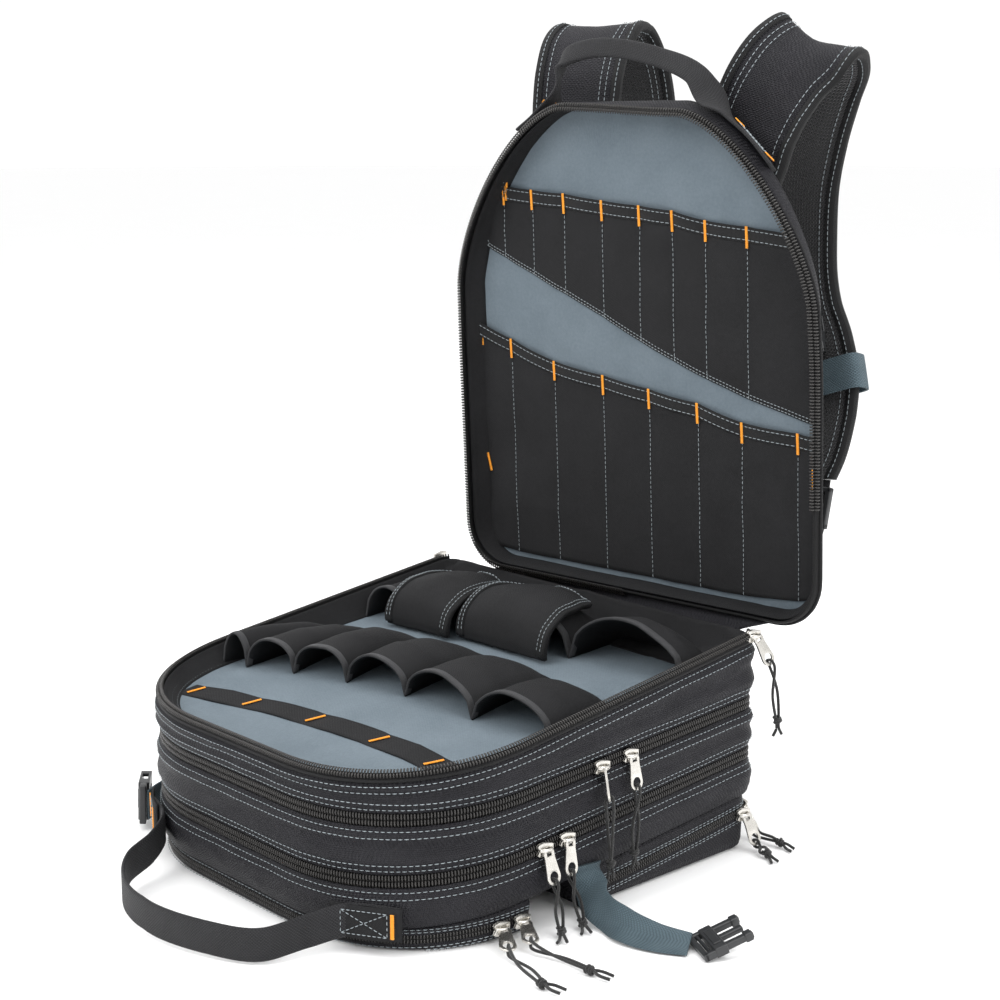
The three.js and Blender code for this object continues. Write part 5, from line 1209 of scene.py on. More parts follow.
def grab_handle():
    run = [(0.42, 0.928, 24, 1), (0.335, 0.974, 24, 1), (0.295, 1.05, 18, 0), (0.265, 1.14, 14, 0),
           (0.17, 1.195, 14, 0), (0.03, 1.225, 14, 0), (-0.1, 1.205, 15, 0), (-0.195, 1.14, 18, 0),
           (-0.225, 1.065, 24, 0), (-0.27, 1.01, 30, 1), (-0.36, 0.973, 31, 1)]
    points = []
    for x, s, z, wall in run:
        x, s = x * BAG_WIDTH, s * BASE_LENGTH
        if wall:
            wx, ws, nx, ns = nearest_wall(x, s, BASE)
            out = 4.3 + HANDLE_WEBBING / 2 + 1.8
            x, s = wx + nx * out, ws + ns * out
        points.append((x, -s, z))
    sides = [(0, 0, 1)] * len(points)
    path, side, normal = ribbon_frames(points, sides, 160)
    bend = np.sin(math.pi * np.linspace(0, 1, 160)) ** 3
    sway = rumple(np.linspace(0, 300, 160), np.zeros(160), 60, 50, 7) * 1.5 * bend
    path = path + A(0, 0, 1) * sway[:, None]
    webbing("grab_handle_web", path, side, normal, WEBBING_WIDTH, HANDLE_WEBBING, WEB, ["grab_handle"])


grab_handle()


def box_cross(origin, across, up, normal, w, h):
    """Box stitch with a cross, and bar tacks at its two ends."""
    across, up, normal = (unit(np.asarray(v, float)) for v in (across, up, normal))
    at = lambda a, b: origin + across * a * w / 2 + up * b * h / 2
    loop = [(-0.82, -1), (0.82, -1), (0.82, 1), (-0.82, 1), (-0.82, -1)]
    crossing = [((-0.82, -1), (0.82, 1)), ((0.82, -1), (-0.82, 1))]
    for (a, b), (c, d) in list(zip(loop[:-1], loop[1:])) + crossing:
        line = np.linspace(at(a, b), at(c, d), 12)
        strap_stitches.extend(stitch(line, normal, pitch=3.6, long=2.6))
    for end in (-1, 1):
        tacks.extend(tack(at(end, -1.05), at(end, 1.05), normal, width=3.0))


def wall_patch(name, x, s, z, w, h):
    """The square of cloth that holds the handle's end on the wall, with its box stitch."""
    cols = np.linspace(-0.5, 0.5, 17)
    i0 = int(np.argmin((BASE.x - x) ** 2 + (BASE.s - s) ** 2))
    at = BASE.run[i0] + cols * w
    take = lambda v: np.interp(at, BASE.run, v)
    px, ps, nx, ns = take(BASE.x), take(BASE.s), take(BASE.nx), take(BASE.ns)
    zs = z + np.linspace(-0.5, 0.5, 7) * h
    grid = wall_point(px[:, None], ps[:, None], nx[:, None], ns[:, None], 4.3 + HANDLE_WEBBING + 2.2,
                      zs[None])
    surface(name, grid, CANVAS, thick=1.6, flip=True)
    middle = grid[8, 3]
    across = grid[-1, 3] - grid[0, 3]
    normal = A(nx[8], -ns[8], 0)
    box_cross(middle + normal * 0.4, across, A(0, 0, 1), normal, w * 0.84, h * 0.72)


TOP_RUN = [(-0.3, 0.93, 1, None, 1), (-0.235, 0.972, 1, None, 1),
           (-0.205, 1.035, 0, (-0.5, 0.8, 0.2), 0.95), (-0.185, 1.082, 0, (0.2, 0.5, 0.85), 0.7),
           (-0.107, 1.102, 0, (0, 0.25, 1), 0.62), (-0.027, 1.1, 0, (0, 0.2, 1), 0.62),
           (0.085, 1.079, 0, (0.1, 0.3, 0.95), 0.62), (0.172, 1.048, 0, (0.35, 0.5, 0.8), 0.72),
           (0.208, 1.012, 0, (0.6, 0.7, 0.4), 0.95), (0.25, 0.965, 1, None, 1), (0.31, 0.922, 1, None, 1),
           (0.365, 0.87, 1, None, 1)]


def top_handle():
    points, sides, widths = [], [], []
    for x, s, wall, side, width in TOP_RUN:
        x, s = x * BAG_WIDTH, s * PANEL_HEIGHT
        depth = 17.0
        if wall:
            wx, ws, nx, ns = nearest_wall(x, s, PANEL)
            lean = lean_of(nx)
            slope = (-20.0 + 6.0) / 18.0 * lean
            out = float(np.interp(depth, WALL_DEPTHS, WALL_OUTS)) * lean + HANDLE_WEBBING / 2 + 2.4
            x, s = wx + nx * out, ws + ns * out
            side = (nx * slope, 1, ns * slope)
        points.append(on_panel(x, depth, s))
        sides.append(panel_dir(*side))
        widths.append(width)
    path, side, normal = ribbon_frames(points, sides, 200)
    width = np.interp(np.linspace(0, 11, 200), np.arange(12), widths)
    w, t = WEBBING_WIDTH / 2, HANDLE_WEBBING / 2
    fold = smooth(0.98, 0.66, width)
    thick = t * (1 + 0.9 * fold)
    angles = np.linspace(0, 2 * math.pi, 21)[:-1]
    ca, sa = np.cos(angles), np.sin(angles)
    square = np.sign(ca) * np.abs(ca) ** 0.35, np.sign(sa) * np.abs(sa) ** 0.55
    grid = path[:, None] + side[:, None] * (square[0][None] * w * width[:, None])[..., None]
    grid = grid + normal[:, None] * (square[1][None] * thick[:, None])[..., None]
    obj = surface("top_handle_web", grid, WEB, close_v=True, replaces=["top_handle"])
    cap(obj)
    for i, j in ((168, 196), (4, 26)):
        mid = (i + j) // 2
        sign = 1 if np.dot(normal[mid], path[mid] - on_panel(0, 20, 200)) > 0 else -1
        across, up, out = path[j] - path[i], side[mid], normal[mid] * sign
        h = 19.0
        box_cross(path[mid] + out * (t + 0.3), across, up, out, np.linalg.norm(across) * 0.86, h)


top_handle()

# The two patches behind the grab handle's ends, with box stitches and bar tacks.
wall_patch("handle_patch_right", 0.36 * BAG_WIDTH, 0.958 * BASE_LENGTH, 24.0, 50.0, 24.0)
wall_patch("handle_patch_left", -0.36 * BAG_WIDTH, 0.973 * BASE_LENGTH, 31.0, 40.0, 26.0)


# The harness.

STRAP_RIGHT = [((74, 326), (0.87, 0.08, -0.48), 1), ((119, 48, 545), (0.76, 0.16, -0.62), 1),
               ((128, 48, 570), (0.68, 0.24, -0.68), 1), ((139, 52, 594), (0.63, 0.3, -0.7), 1),
               ((150, 63, 615), (0.7, 0.4, -0.55), 1), ((159, 82, 626), (0.8, 0.5, -0.3), 1),
               ((153, 97, 616), (0.84, 0.5, -0.18), 1), ((138, 108, 598), (0.89, 0.44, -0.08), 1),
               ((121, 116, 562), (0.93, 0.36, 0), 1), ((110, 123, 524), (0.97, 0.25, 0), 1),
               ((109, 126, 484), (1, 0.12, 0), 1), ((113, 124, 443), (1, 0.1, 0.04), 1),
               ((122, 121, 413), (1, 0.1, 0.08), 1), ((136, 118, 387), (1, 0.1, 0.1), 1),
               ((149, 113, 360), (1, 0.1, 0.06), 0.96), ((157, 107, 331), (1, 0.12, 0), 0.8),
               ((162, 101, 305), (1, 0.14, 0), 0.6), ((164, 95, 285), (1, 0.15, 0), 0.42)]
STRAP_LEFT = [((-94, 322), (1, 0.09, 0), 1), ((-62, 36, 548), (0.95, 0.28, 0.03), 1),
              ((-63, 40, 585), (0.87, 0.5, 0.05), 1), ((-63, 44, 612), (0.84, 0.54, 0), 1),
              ((-66, 56, 635), (0.8, 0.6, 0.02), 1), ((-69, 77, 647), (0.78, 0.62, 0.06), 1),
              ((-74, 96, 640), (0.82, 0.56, 0.04), 1), ((-72, 110, 618), (0.87, 0.48, 0), 1),
              ((-68, 118, 580), (0.93, 0.36, 0), 1), ((-70, 122, 530), (0.98, 0.2, 0), 1),
              ((-76, 121, 480), (1, 0.1, 0), 1), ((-86, 118, 435), (1, 0.05, 0), 1),
              ((-98, 113, 390), (1, 0.03, 0), 0.97), ((-107, 104, 350), (1, 0, 0), 0.8),
              ((-112, 96, 320), (1, 0, 0), 0.6), ((-114, 90, 300), (1, 0, 0), 0.42)]
TAIL_RIGHT = [((164.1, 94.8, 284.3), (1, 0.15, 0), 1), ((166, 88, 262), (1, 0.15, 0), 1),
              ((167, 81, 240), (1, 0.12, 0), 1), ((142, 70, 220), (1, 0.1, 0), 1),
              ((112, 20), (1, 0.09, 0), 1)]
TAIL_LEFT = [((-114.1, 89.8, 299.3), (1, 0, 0), 1), ((-116.5, 80, 270), (1, 0, 0), 1),
             ((-118, 71, 243), (1, 0.03, 0), 1), ((-108, 51, 221), (1, 0.09, 0), 1),
             ((-138, 22), (1, 0.09, 0), 1)]


def stations(table, thick):
    points, sides, widths = [], [], []
    for at, side, width in table:
        if len(at) == 2:
            at = on_panel(at[0], PANEL_DEPTH + thick / 2 + CLEARANCE, at[1])
        points.append(np.array(at, float))
        sides.append(unit(A(*side)))
        widths.append(width)
    return np.array(points), np.array(sides), np.array(widths, float)


def shoulder_strap(name, table, node, seed):
    points, sides, widths = stations(table, STRAP_PADDING)
    count = 181
    path, side, normal = ribbon_frames(points, sides, count)
    width = np.interp(np.linspace(0, len(widths) - 1, count), np.arange(len(widths)), widths) * STRAP_WIDTH
    q = np.linspace(-1, 1, 33)
    crown = 1 - 0.55 * np.abs(q) ** 3
    half = STRAP_PADDING / 2
    run = np.linspace(0, 700, count)
    soft = rumple(np.repeat(run[:, None], 33, 1), np.repeat(q[None] * 37, count, 0), 42.0, 26.0, seed)
    outer_bulge = half * crown[None] * (0.9 + 0.1 * soft)
    inner_bulge = half * crown[None] * (0.95 + 0.05 * soft)
    base = path[:, None] + side[:, None] * (q[None] * (width[:, None] / 2 - 1.0))[..., None]
    outer = base - normal[:, None] * outer_bulge[..., None]
    inner = base + normal[:, None] * inner_bulge[..., None]
    face = surface(name + "_cloth", outer, BLACK, thick=1.2, replaces=[node], flip=True)
    surface(name + "_mesh", inner, MESH, thick=1.2, flip=False)
    # The binding that joins the two faces, along both sides.
    for sign, label in ((-1, "a"), (1, "b")):
        edge = path + side * (sign * width / 2)[:, None]
        t = half * 0.45 + 1.5
        profile = [(-7.5, t - 0.2), (-7.2, t + 0.9), (-3.0, t + 0.8), (0.2, t - 0.6), (1.2, 0),
                   (0.2, -t + 0.6), (-3.0, -t - 0.8), (-7.2, -t - 0.9), (-7.5, -t + 0.2)]
        grid = sweep(edge, side * sign, normal, profile)
        obj = surface(name + "_binding_" + label, grid, BINDING, close_v=True, flip=sign < 0)
        cap(obj)
        line = edge - side * sign * 3.9
        strap_stitches.extend(stitch(line - normal * (t + 1.1), -normal))
        mesh_stitches.extend(stitch(line + normal * (t + 1.1), normal))
        for inset in (12.0, 17.0) if (sign < 0) == (seed > 200) else (12.0,):
            k = np.clip(1 - inset * 2 / width, 0, 1)
            level = half * (1 - 0.55 * k ** 3) * 0.95 + 0.35
            line = path + side * (sign * (width / 2 - inset))[:, None] - normal * level[:, None]
            strap_stitches.extend(stitch(line, -normal))
            line = path + side * (sign * (width / 2 - inset))[:, None] + normal * level[:, None]
            mesh_stitches.extend(stitch(line, normal))
    return path, side, normal, width


mesh_stitches = []


def solids(name, parts, material, frame4, replaces=(), bevel=0.8):
    """Bevelled boxes joined into one moulded piece. parts: (size, centre) in the piece's own frame."""
    bm = bmesh.new()
    for size, centre in parts:
        made = bmesh.ops.create_cube(bm, size=1.0)["verts"]
        bmesh.ops.scale(bm, vec=size, verts=made)
        bmesh.ops.translate(bm, vec=centre, verts=made)
        edges = list({e for v in made for e in v.link_edges})
        offset = min(bevel, min(size) * 0.42)
        bmesh.ops.bevel(bm, geom=edges, offset=offset, segments=2, affect="EDGES", profile=0.6)
    mesh = bpy.data.meshes.new(name)
    rotation, origin = frame4
    for v in bm.verts:
        v.co = row(origin + rotation @ np.array(v.co))
    bmesh.ops.recalc_face_normals(bm, faces=bm.faces)
    bm.to_mesh(mesh)
    bm.free()
    mesh.materials.append(material)
    mesh.polygons.foreach_set("use_smooth", np.full(len(mesh.polygons), True))
    obj = bpy.data.objects.new(name, mesh)
    bpy.context.scene.collection.objects.link(obj)
    obj.modifiers.new("edges", "WEIGHTED_NORMAL")
    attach(obj, "root")
    if replaces:
        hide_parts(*replaces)
    return obj


def basis(side, run):
    z = unit(np.asarray(run, float))
    y = unit(np.cross(z, side))
    return np.stack([np.cross(y, z), y, z], axis=1)


def adjuster(name, frame4, node):
    bar, w, h, d = 5.0, WEBBING_WIDTH + 10, 34.0, 6.0
    parts = [((bar, d, h), (w / 2 - bar / 2, -4.8, 0)), ((bar, d, h), (-w / 2 + bar / 2, -4.8, 0)),
             ((w, d, bar), (0, -4.8, h / 2 - bar / 2)), ((w - 2, d * 0.7, bar), (0, -4.8, 1)),
             ((w, d, bar), (0, -4.8, -h / 2 + bar / 2)),
             ((w * 0.8, d * 1.6, bar), (0, -4.8 - d * 0.3, -h / 2 + bar / 2))]
    for k in range(5):
        parts.append(((w * 0.7, 1.0, 0.9), (0, -4.8 - d * 1.1, -h / 2 + 0.9 + k * 1.1)))
    solids(name, parts, PLASTIC, frame4, [node], bevel=1.4)


def buckle(name, kind, frame4, node, shift=(0, 0, 0)):
    w, l, d = 33.0, 44.0 * 0.62, 9.0
    rim_parts = [((w, d * 0.6, 4), (0, 0, -l / 2 - 7)), ((4, d * 0.6, 9), (w / 2 - 2, 0, -l / 2 - 4)),
                 ((4, d * 0.6, 9), (-w / 2 + 2, 0, -l / 2 - 4)),
                 ((w - 6, d * 0.35, 2.4), (0, 0, -l / 2 - 2.6))]
    if kind == "socket":
        parts = [((w, 2.2, l), (0, d / 2 - 1.1, 0)), ((w, 2.2, l), (0, -d / 2 + 1.1, 0)),
                 ((3.6, d, l * 0.36), (w / 2 - 1.8, 0, -l * 0.32)),
                 ((3.6, d, l * 0.36), (-w / 2 + 1.8, 0, -l * 0.32)),
                 ((3.6, d, l * 0.22), (w / 2 - 1.8, 0, l * 0.39)),
                 ((3.6, d, l * 0.22), (-w / 2 + 1.8, 0, l * 0.39)),
                 ((w - 6, d - 3, 3), (0, 0, -l / 2 + 1.5)),
                 ((w * 0.5, 1.2, l * 0.5), (0, d / 2 + 0.2, -1)),
                 ((w * 0.5, 1.2, l * 0.5), (0, -d / 2 - 0.2, -1))]
    else:
        parts = [((w, d * 0.8, l * 0.35), (0, 0, -l * 0.33)),
                 ((5, d * 0.55, l * 0.9), (w / 2 - 4, 0, l * 0.15)),
                 ((5, d * 0.55, l * 0.9), (-w / 2 + 4, 0, l * 0.15)),
                 ((5, d * 0.45, l * 0.8), (0, 0, l * 0.1)), ((7, d * 0.7, 6), (w / 2 - 4.2, 0, l * 0.46)),
                 ((7, d * 0.7, 6), (-w / 2 + 4.2, 0, l * 0.46)),
                 ((w * 0.6, 1.2, l * 0.2), (0, d * 0.4 + 0.3, -l * 0.33))]
    parts = [(size, tuple(np.array(at) + A(*shift))) for size, at in parts + rim_parts]
    solids(name, parts, PLASTIC, frame4, [node], bevel=1.1)


def keeper(name, frame4, node, slack):
    rotation, origin = frame4
    w, d = STRAP_WIDTH + 4, STRAP_PADDING + 9
    angles = np.linspace(0, 2 * math.pi, 65)[:-1]
    ca, sa = np.cos(angles), np.sin(angles)
    px = np.sign(ca) * np.abs(ca) ** 0.18 * w / 2
    py = np.sign(sa) * np.abs(sa) ** 0.55 * d / 2 + slack
    zs = np.array([-14, -13.4, -7, 0, 7, 13.4, 14.0])
    bow = np.array([-0.5, 0, 0.2, 0.25, 0.2, 0, -0.5])
    local = np.stack(np.broadcast_arrays((px[:, None] * (1 + bow[None] * 0.01)),
                                         py[:, None] * (1 + bow[None] * 0.02), zs[None]), -1)
    grid = origin + local @ rotation.T
    surface(name, grid, GREY_WEB, thick=1.8, close_u=True, replaces=[node], flip=True)


def harness():
    for side_name, table, tail, chest_at, kind, slack, seed in (
            ("right", STRAP_RIGHT, TAIL_RIGHT, 14, "socket", 0.0, 201),
            ("left", STRAP_LEFT, TAIL_LEFT, 12, "plug", 1.7, 191)):
        shoulder_strap("strap_" + side_name, table, "shoulder_strap_" + side_name, seed)
        points, sides, _ = stations(tail, WEBBING)
        path, side, normal = ribbon_frames(points, sides, 60)
        webbing("tail_" + side_name, path, side, normal, WEBBING_WIDTH, WEBBING, WEB,
                ["strap_tail_" + side_name])
        run = unit(points[0] - points[2])
        adjuster("adjuster_" + side_name, (basis(sides[1], run), points[1]), "strap_adjuster_" + side_name)
        sp, ss_, _ = stations(table, STRAP_PADDING)
        chest_run = sp[chest_at - 1] - sp[chest_at + 1]
        frame4 = (basis(ss_[chest_at], chest_run), sp[chest_at])
        keeper("keeper_" + side_name, frame4, "chest_webbing_" + side_name, slack)
        shift = (0, -(STRAP_PADDING + 9.0) / 2 - 2.2, WEBBING_WIDTH + 18)
        buckle("chest_clip_" + side_name, kind, frame4, "chest_buckle_" + side_name, shift)


harness()


# The hinge and the side straps.

def hinge():
    half = HALF * 0.78
    xs = np.linspace(-half, half, 61)
    edges = [np.stack([xs, np.full_like(xs, out), np.full_like(xs, z)], -1)
             for out, z in ((4.5, 0.8 * HINGE_HEIGHT), (4.6, 0.95 * HINGE_HEIGHT))]
    edges += [on_panel(xs, depth, -drop) for depth, drop in ((16.0, -1.3), (32.0, -5.0))]
    stack = np.stack(edges)
    fine = np.stack([spline(stack[:, i], 25) for i in range(len(xs))], axis=1)
    fine[..., 2] += 0.8 * rumple(fine[..., 0], fine[..., 1], 40, 20, 121)
    surface("hinge_cloth_fold", fine, BLACK, thick=1.8, replaces=["hinge_cloth"], flip=True)


hinge()

SIDE_RIGHT = [((189.2, -190, 38), (0, 1, 0.05)), ((188.4, -190.5, 32), (0, 1, 0.1)),
              ((193, -192, 24), (0.15, 0.8, 0.5)), ((205, -200, 17), (0.6, 0.4, 0.55)),
              ((222, -203, 12.5), (0.7, 0.2, 0.5)), ((243, -203, 10), (0.4, 0.75, 0.46)),
              ((262, -196, 7), (0, 0.95, 0.35)), ((281.6, -182.9, 4.5), (-0.3, 0.95, 0.2))]
SIDE_LEFT = [((-190.1, -188, 32), (0, 0, 1)), ((-191, -240, 28), (0, 0, 1)),
             ((-188.5, -285, 24), (0, 0, 1)), ((-180, -322, 22), (0, 0, 1)),
             ((-169, -340, 22), (0, 0, 1))]


def side_straps():
    for name, table in (("right", SIDE_RIGHT), ("left", SIDE_LEFT)):
        points = np.array([p for p, _ in table], float)
        sides = np.array([unit(A(*s)) for _, s in table])
        path, side, normal = ribbon_frames(points, sides, 120)
        webbing("side_webbing_" + name, path, side, normal, WEBBING_WIDTH, WEBBING, GREY_WEB,
                ["side_strap_" + name])
    x = unit(A(-0.9, 0.44, 0.02))
    buckle("side_clip_right", "plug", (basis(x, A(0.42, 0.84, 0.34)), A(297.5, -164.3, 10.5)),
           "side_buckle_right")
    x = unit(A(0, 0.05, 1))
    buckle("side_clip_left", "socket", (basis(x, A(-0.8, 0.6, 0.03)), A(-189.1, -330.7, 22.5)),
           "side_buckle_left")


side_straps()


# Zip sliders and their cords.

RIGHT = ((1, 0, 0), (0, -1, 0))
LEFT = ((-1, 0, 0), (0, 1, 0))
BACK = ((0, 1, 0), (1, 0, 0))
FLOOR_FACE = (0.25, -0.1, 1)
SLIDERS = [
    ("rim_right", RIGHT, (1, 0, 0), (185.9, -8, 176), (0.3, 0.35, -0.9), (202, 6, 108),
     ((201, 2, 95), (204, 9, 96))),
    ("rim_left", LEFT, (-1, 0, 0), (-187.4, -8, 176), (-0.25, 0.1, -0.95), (-201, -4, 106),
     ((-201, -8, 93), (-202, 1, 94))),
    ("upper_a", RIGHT, (1, 0, 0), (187, -147, 111), (0.16, 0, -1), (195, -148, 38),
     ((195, -151, 25), (195, -144, 26))),
    ("upper_b", RIGHT, (0.67, 0.74, 0), (187, -177, 109), (0.2, 0, -1), (196, -174, 36),
     ((196, -178, 23), (196, -171, 24))),
    ("lower_a", RIGHT, (1, 0, 0), (187, -212, 63), (0.2, -0.12, -1), (206, -213, 5),
     ((215, -223, 2), (218, -216, 2))),
    ("lower_b", RIGHT, (1, 0, 0), (187, -234, 61), (0.22, 0.1, -1), (206, -234, 5),
     ((214, -246, 2), (218, -240, 2))),
    ("top_a", RIGHT, FLOOR_FACE, (184, -253, 11.5), (0.82, -0.52, -0.2), (262, -262, 4),
     ((277, -254, 2), (279, -260, 2))),
    ("top_b", RIGHT, FLOOR_FACE, (181.7, -271, 10.5), (0.8, -0.56, -0.18), (255, -300, 4),
     ((270, -292, 2), (271, -299, 2))),
    ("bottom_a", RIGHT, (1, 0, 0), (184, -13, 30), (0.3, 0.2, -0.93), (210, -12, 4.4),
     ((221, -20, 1.6), (223, -14, 1.6))),
    ("bottom_b", BACK, (0.3, 1, 0), (171, -1, 31), (0.35, 0.25, -0.9), (203, 13, 4.4),
     ((216, 10, 1.6), (215, 16, 1.6))),
]
TAB_LENGTH, TAB_WIDTH, TAB_THICK, HOLE = 26.0, 12.5, 1.8, 3.7
CORD_D = 2.4


def plate(name, outline, holes, thick, frame4, bevel=0.35):
    """A flat plate with holes, as an extruded curve with rounded edges, turned into a mesh."""
    curve = bpy.data.curves.new(name, "CURVE")
    curve.dimensions = "2D"
    curve.fill_mode = "BOTH"
    curve.extrude = thick / 2 - bevel
    curve.bevel_depth = bevel
    curve.bevel_resolution = 1
    curve.offset = -bevel
    for loop in [outline] + holes:
        line = curve.splines.new("POLY")
        line.points.add(len(loop) - 1)
        for point, (x, y) in zip(line.points, loop):
            point.co = (x, y, 0, 1)
        line.use_cyclic_u = True
    temp = bpy.data.objects.new(name, curve)
    mesh = bpy.data.meshes.new_from_object(temp)
    bpy.data.objects.remove(temp)
    bpy.data.curves.remove(curve)
    mesh.name = name
    rotation, origin = frame4
    co = np.empty(len(mesh.vertices) * 3)
    mesh.vertices.foreach_get("co", co)
    co = co.reshape(-1, 3)
    mesh.vertices.foreach_set("co", row(origin + co @ rotation.T).ravel())
    return mesh


def slider(name, frame, face, at, tab, knot, tails):
    out, along = A(*frame[0]), A(*frame[1])
    at, down = A(*at), unit(A(*tab))
    up_axis = np.cross(along, out)
    # Body: a wedge-shaped plate, a second plate under it and the bridge over the top.
    l, w = 7.5, 5.25
    shape = [(-l, -w * 0.55), (-l * 0.6, -w * 0.72), (l * 0.3, -w), (l * 0.85, -w * 0.86), (l, -w * 0.6),
             (l * 0.72, 0), (l, w * 0.6), (l * 0.85, w * 0.86), (l * 0.3, w), (-l * 0.6, w * 0.72),
             (-l, w * 0.55)]
    flat = np.stack([along, up_axis, out], axis=1)
    meshes = [plate(name + "_top", shape, [], 1.3, (flat, at + out * 2.1)),
              plate(name + "_low", shape, [], 1.1, (flat, at + out * 0.6))]
    faced = A(*face)
    normal = unit(faced - down * np.dot(faced, down))
    up = -down
    width = np.cross(normal, up)
    top = at + out * 4.5
    half, neck = TAB_WIDTH / 2, TAB_WIDTH * 0.32
    centre = -(TAB_LENGTH - half)
    outline = [(-neck, 0.6), (-half * 0.8, -2.2), (-half * 0.74, -6), (-half * 0.86, centre * 0.62),
               (-half, centre)]
    outline += [(half * math.cos(a), centre + half * math.sin(a))
                for a in np.linspace(math.pi, 2 * math.pi, 15)[1:-1]]
    outline += [(half, centre), (half * 0.86, centre * 0.62), (half * 0.74, -6), (half * 0.8, -2.2),
                (neck, 0.6)]
    hole = [(HOLE * math.cos(a), centre + HOLE * math.sin(a)) for a in np.linspace(0, 2 * math.pi, 21)[:-1]]
    slot = [(-2.2, -1.6), (2.2, -1.6), (2.2, -4.4), (-2.2, -4.4)]
    turn = np.stack([width, up, normal], axis=1)
    meshes.append(plate(name + "_tab", outline, [hole, slot], TAB_THICK, (turn, top), bevel=0.4))
    bm = bmesh.new()
    for mesh in meshes:
        bm.from_mesh(mesh)
        bpy.data.meshes.remove(mesh)
    arch = [at + along * (5.2 * math.cos(a)) + out * (2.4 + 3.4 * math.sin(a))
            for a in np.linspace(0, math.pi, 13)]
    arch = np.array(arch)
    tangent = unit(np.gradient(arch, axis=0))
    normal_a = unit(np.cross(tangent, up_axis))
    ring = [(1.5 * math.cos(a), 0.75 * math.sin(a)) for a in np.linspace(0, 2 * math.pi, 11)[:-1]]
    verts = [[bm.verts.new(row(p + up_axis * a + n * b)) for a, b in ring] for p, n in zip(arch, normal_a)]
    for r1, r2 in zip(verts[:-1], verts[1:]):
        for k in range(len(ring)):
            j = (k + 1) % len(ring)
            bm.faces.new([r1[k], r2[k], r2[j], r1[j]])
    bm.faces.new(verts[0])
    bm.faces.new(verts[-1][::-1])
    bmesh.ops.remove_doubles(bm, verts=bm.verts, dist=1e-6)
    bmesh.ops.recalc_face_normals(bm, faces=bm.faces)
    mesh = bpy.data.meshes.new("slider_" + name + "_metal")
    bm.to_mesh(mesh)
    bm.free()
    mesh.materials.append(NICKEL)
    mesh.polygons.foreach_set("use_smooth", np.full(len(mesh.polygons), True))
    mesh.set_sharp_from_angle(angle=math.radians(40))
    obj = bpy.data.objects.new("slider_" + name + "_metal", mesh)
    bpy.context.scene.collection.objects.link(obj)
    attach(obj, "root")
    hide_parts("slider_" + name)
    # The cord: from one face of the tab down to the knot, round in it, and back up on the other face.
    rest = top + down * (TAB_LENGTH - half + 1.8)
    knot = A(*knot)
    leg = lambda side: [knot + width * side * CORD_D * 0.65,
                        lerp(rest + down * 6 + normal * side * 2.8, knot, 0.5) + width * side * 4.5,
                        rest + down * 6 + normal * side * 2.8, rest + normal * side * 2.7]
    first = leg(1)[::-1]
    second = leg(-1)
    turn_at = [knot + width * 1.2 + (knot - rest) / np.linalg.norm(knot - rest) * 2.2,
               knot + (knot - rest) / np.linalg.norm(knot - rest) * 3.0,
               knot - width * 1.2 + (knot - rest) / np.linalg.norm(knot - rest) * 2.2]
    turn_at = [np.maximum(p, A(-1e9, -1e9, CORD_D / 2 + 0.1)) for p in turn_at]
    route = spline(first + turn_at + second, 90)
    loop_path = np.concatenate([[rest + normal * 0.2], route, [rest - normal * 0.2]])
    loop_path, _ = resample(loop_path, 1.6, loop_path)
    cord = tube("cord_" + name, loop_path, CORD_D / 2, CORD, sides=8, replaces=["pull_cord_" + name])
    # The knot: an overhand knot's wraps round the two legs, and its two loose ends.
    axis = unit(knot - rest)
    ref = unit(np.cross(axis, normal))
    ref2 = np.cross(axis, ref)
    phase = np.linspace(0, 2 * math.pi * 2.3, 46)
    wrap = [knot + axis * lerp(-2.4, 2.4, i / 45)
            + (ref * math.cos(a) + ref2 * math.sin(a)) * (2.3 + 0.4 * math.sin(a * 1.5))
            for i, a in enumerate(phase)]
    wrap = np.array(wrap)
    wrap[:, 2] = np.maximum(wrap[:, 2], CORD_D / 2)
    knot_piece = tube("knot_" + name, wrap, CORD_D / 2, CORD, sides=8)
    for k, end in enumerate(tails):
        end = A(*end)
        start = knot + width * (-1 if k else 1) * CORD_D * 0.6
        bow = unit(np.cross(end - start, normal)) * (1.8 if k else -1.8)
        pts = spline([start, lerp(start, end, 0.5) + bow, end], 12)
        pts[:, 2] = np.maximum(pts[:, 2], CORD_D / 2)
        tube("cord_end_%s_%d" % (name, k), pts, CORD_D / 2, CORD, sides=8)


for entry in SLIDERS:
    slider(*entry)

batch("stitching_walls", stitch_lines, THREAD)
batch("stitching_tray", stitch_dark, THREAD)
batch("zip_teeth", coil_lines, COIL)
batch("zip_teeth_panel", panel_coil, COIL)
batch("stitching_panel", panel_stitches, THREAD)
batch("stitching_straps", strap_stitches, THREAD)
batch("stitching_strap_mesh", mesh_stitches, THREAD)
batch("bar_tacks", tacks, ORANGE)


# Floor, light and camera. The camera stands where the photo was taken from, in the bag's frame.
CAMERA_AT = (1071.66, -1082.89, 551.28)
CAMERA_YAW, CAMERA_PITCH = 0.8329, math.radians(11.10)
CAMERA_SENSOR, CAMERA_LENS, CAMERA_SHIFT = 36.0, 65.73, (0.003, 0.0033)
FLOOR_REACH = 40.0

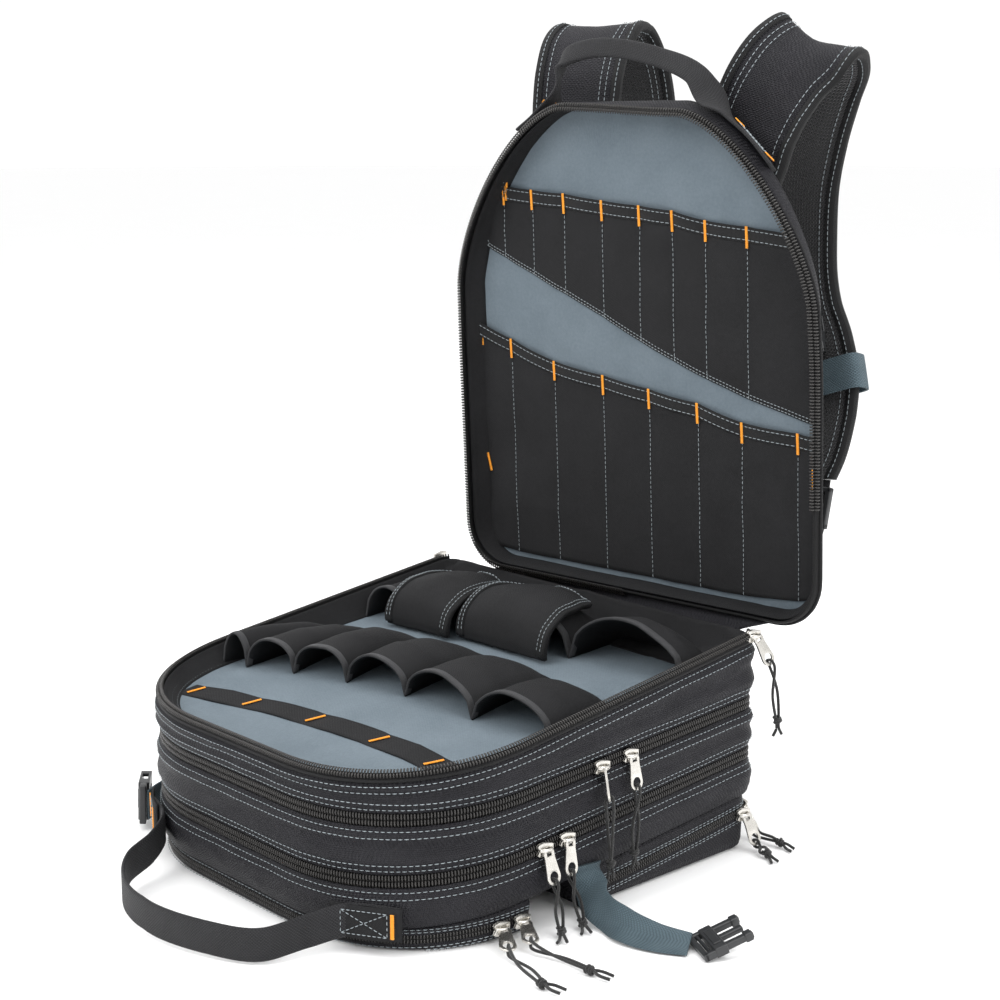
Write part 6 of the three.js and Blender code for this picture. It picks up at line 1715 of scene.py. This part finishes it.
def stage_floor():
    n = Nodes("floor")
    place = n.add("ShaderNodeTexCoord").outputs["Object"]
    shade = n.noise(place, 3.0, 2.0)
    n.finish(n.mix(shade, (0.93, 0.93, 0.93), (0.95, 0.95, 0.95)), 0.9)
    mesh = bpy.data.meshes.new("floor")
    corners = [(x * FLOOR_REACH, y * FLOOR_REACH, -0.0005) for x, y in ((-1, -1), (1, -1), (1, 1), (-1, 1))]
    mesh.from_pydata(corners, [], [(0, 1, 2, 3)])
    mesh.materials.append(n.material)
    floor = bpy.data.objects.new("floor", mesh)
    bpy.context.scene.collection.objects.link(floor)


def area_light(name, at, target, size, power, color=(1, 1, 1)):
    data = bpy.data.lights.new(name, "AREA")
    data.energy, data.size, data.color = power, size, color
    light = bpy.data.objects.new(name, data)
    bpy.context.scene.collection.objects.link(light)
    direction = unit(A(*target) - A(*at))
    z = -direction
    x = unit(np.cross(A(0, 0, 1), z))
    y = np.cross(z, x)
    matrix = np.eye(4)
    matrix[:3, 0], matrix[:3, 1], matrix[:3, 2], matrix[:3, 3] = x, y, z, at
    light.matrix_world = Matrix(matrix.tolist())


def camera():
    yaw, pitch = CAMERA_YAW, CAMERA_PITCH
    view = A(-math.sin(yaw) * math.cos(pitch), math.cos(yaw) * math.cos(pitch), -math.sin(pitch))
    right = A(math.cos(yaw), math.sin(yaw), 0)
    up = np.cross(right, view)
    data = bpy.data.cameras.new("camera")
    data.sensor_width, data.lens = CAMERA_SENSOR, CAMERA_LENS
    data.shift_x, data.shift_y = CAMERA_SHIFT
    data.clip_start, data.clip_end = 0.05, 50
    cam = bpy.data.objects.new("camera", data)
    bpy.context.scene.collection.objects.link(cam)
    at = row(A(*CAMERA_AT))
    matrix = np.eye(4)
    matrix[:3, 0], matrix[:3, 1], matrix[:3, 2], matrix[:3, 3] = right, up, -view, at
    cam.matrix_world = Matrix(matrix.tolist())
    bpy.context.scene.camera = cam


stage_floor()
camera()
area_light("key", (-0.6, -2.2, 2.4), (0, 0, 0.25), 2.2, 60)
area_light("right", (2.4, 0.3, 1.8), (0, 0, 0.3), 1.6, 34)
area_light("top", (0.1, 0.2, 2.8), (0, 0, 0.2), 2.0, 40)
world = bpy.data.worlds.new("studio")
world.use_nodes = True
world.node_tree.nodes["Background"].inputs["Color"].default_value = (1.0, 1.0, 1.0, 1)
world.node_tree.nodes["Background"].inputs["Strength"].default_value = 1.05
bpy.context.scene.world = world
bpy.context.scene.view_settings.view_transform = "Standard"
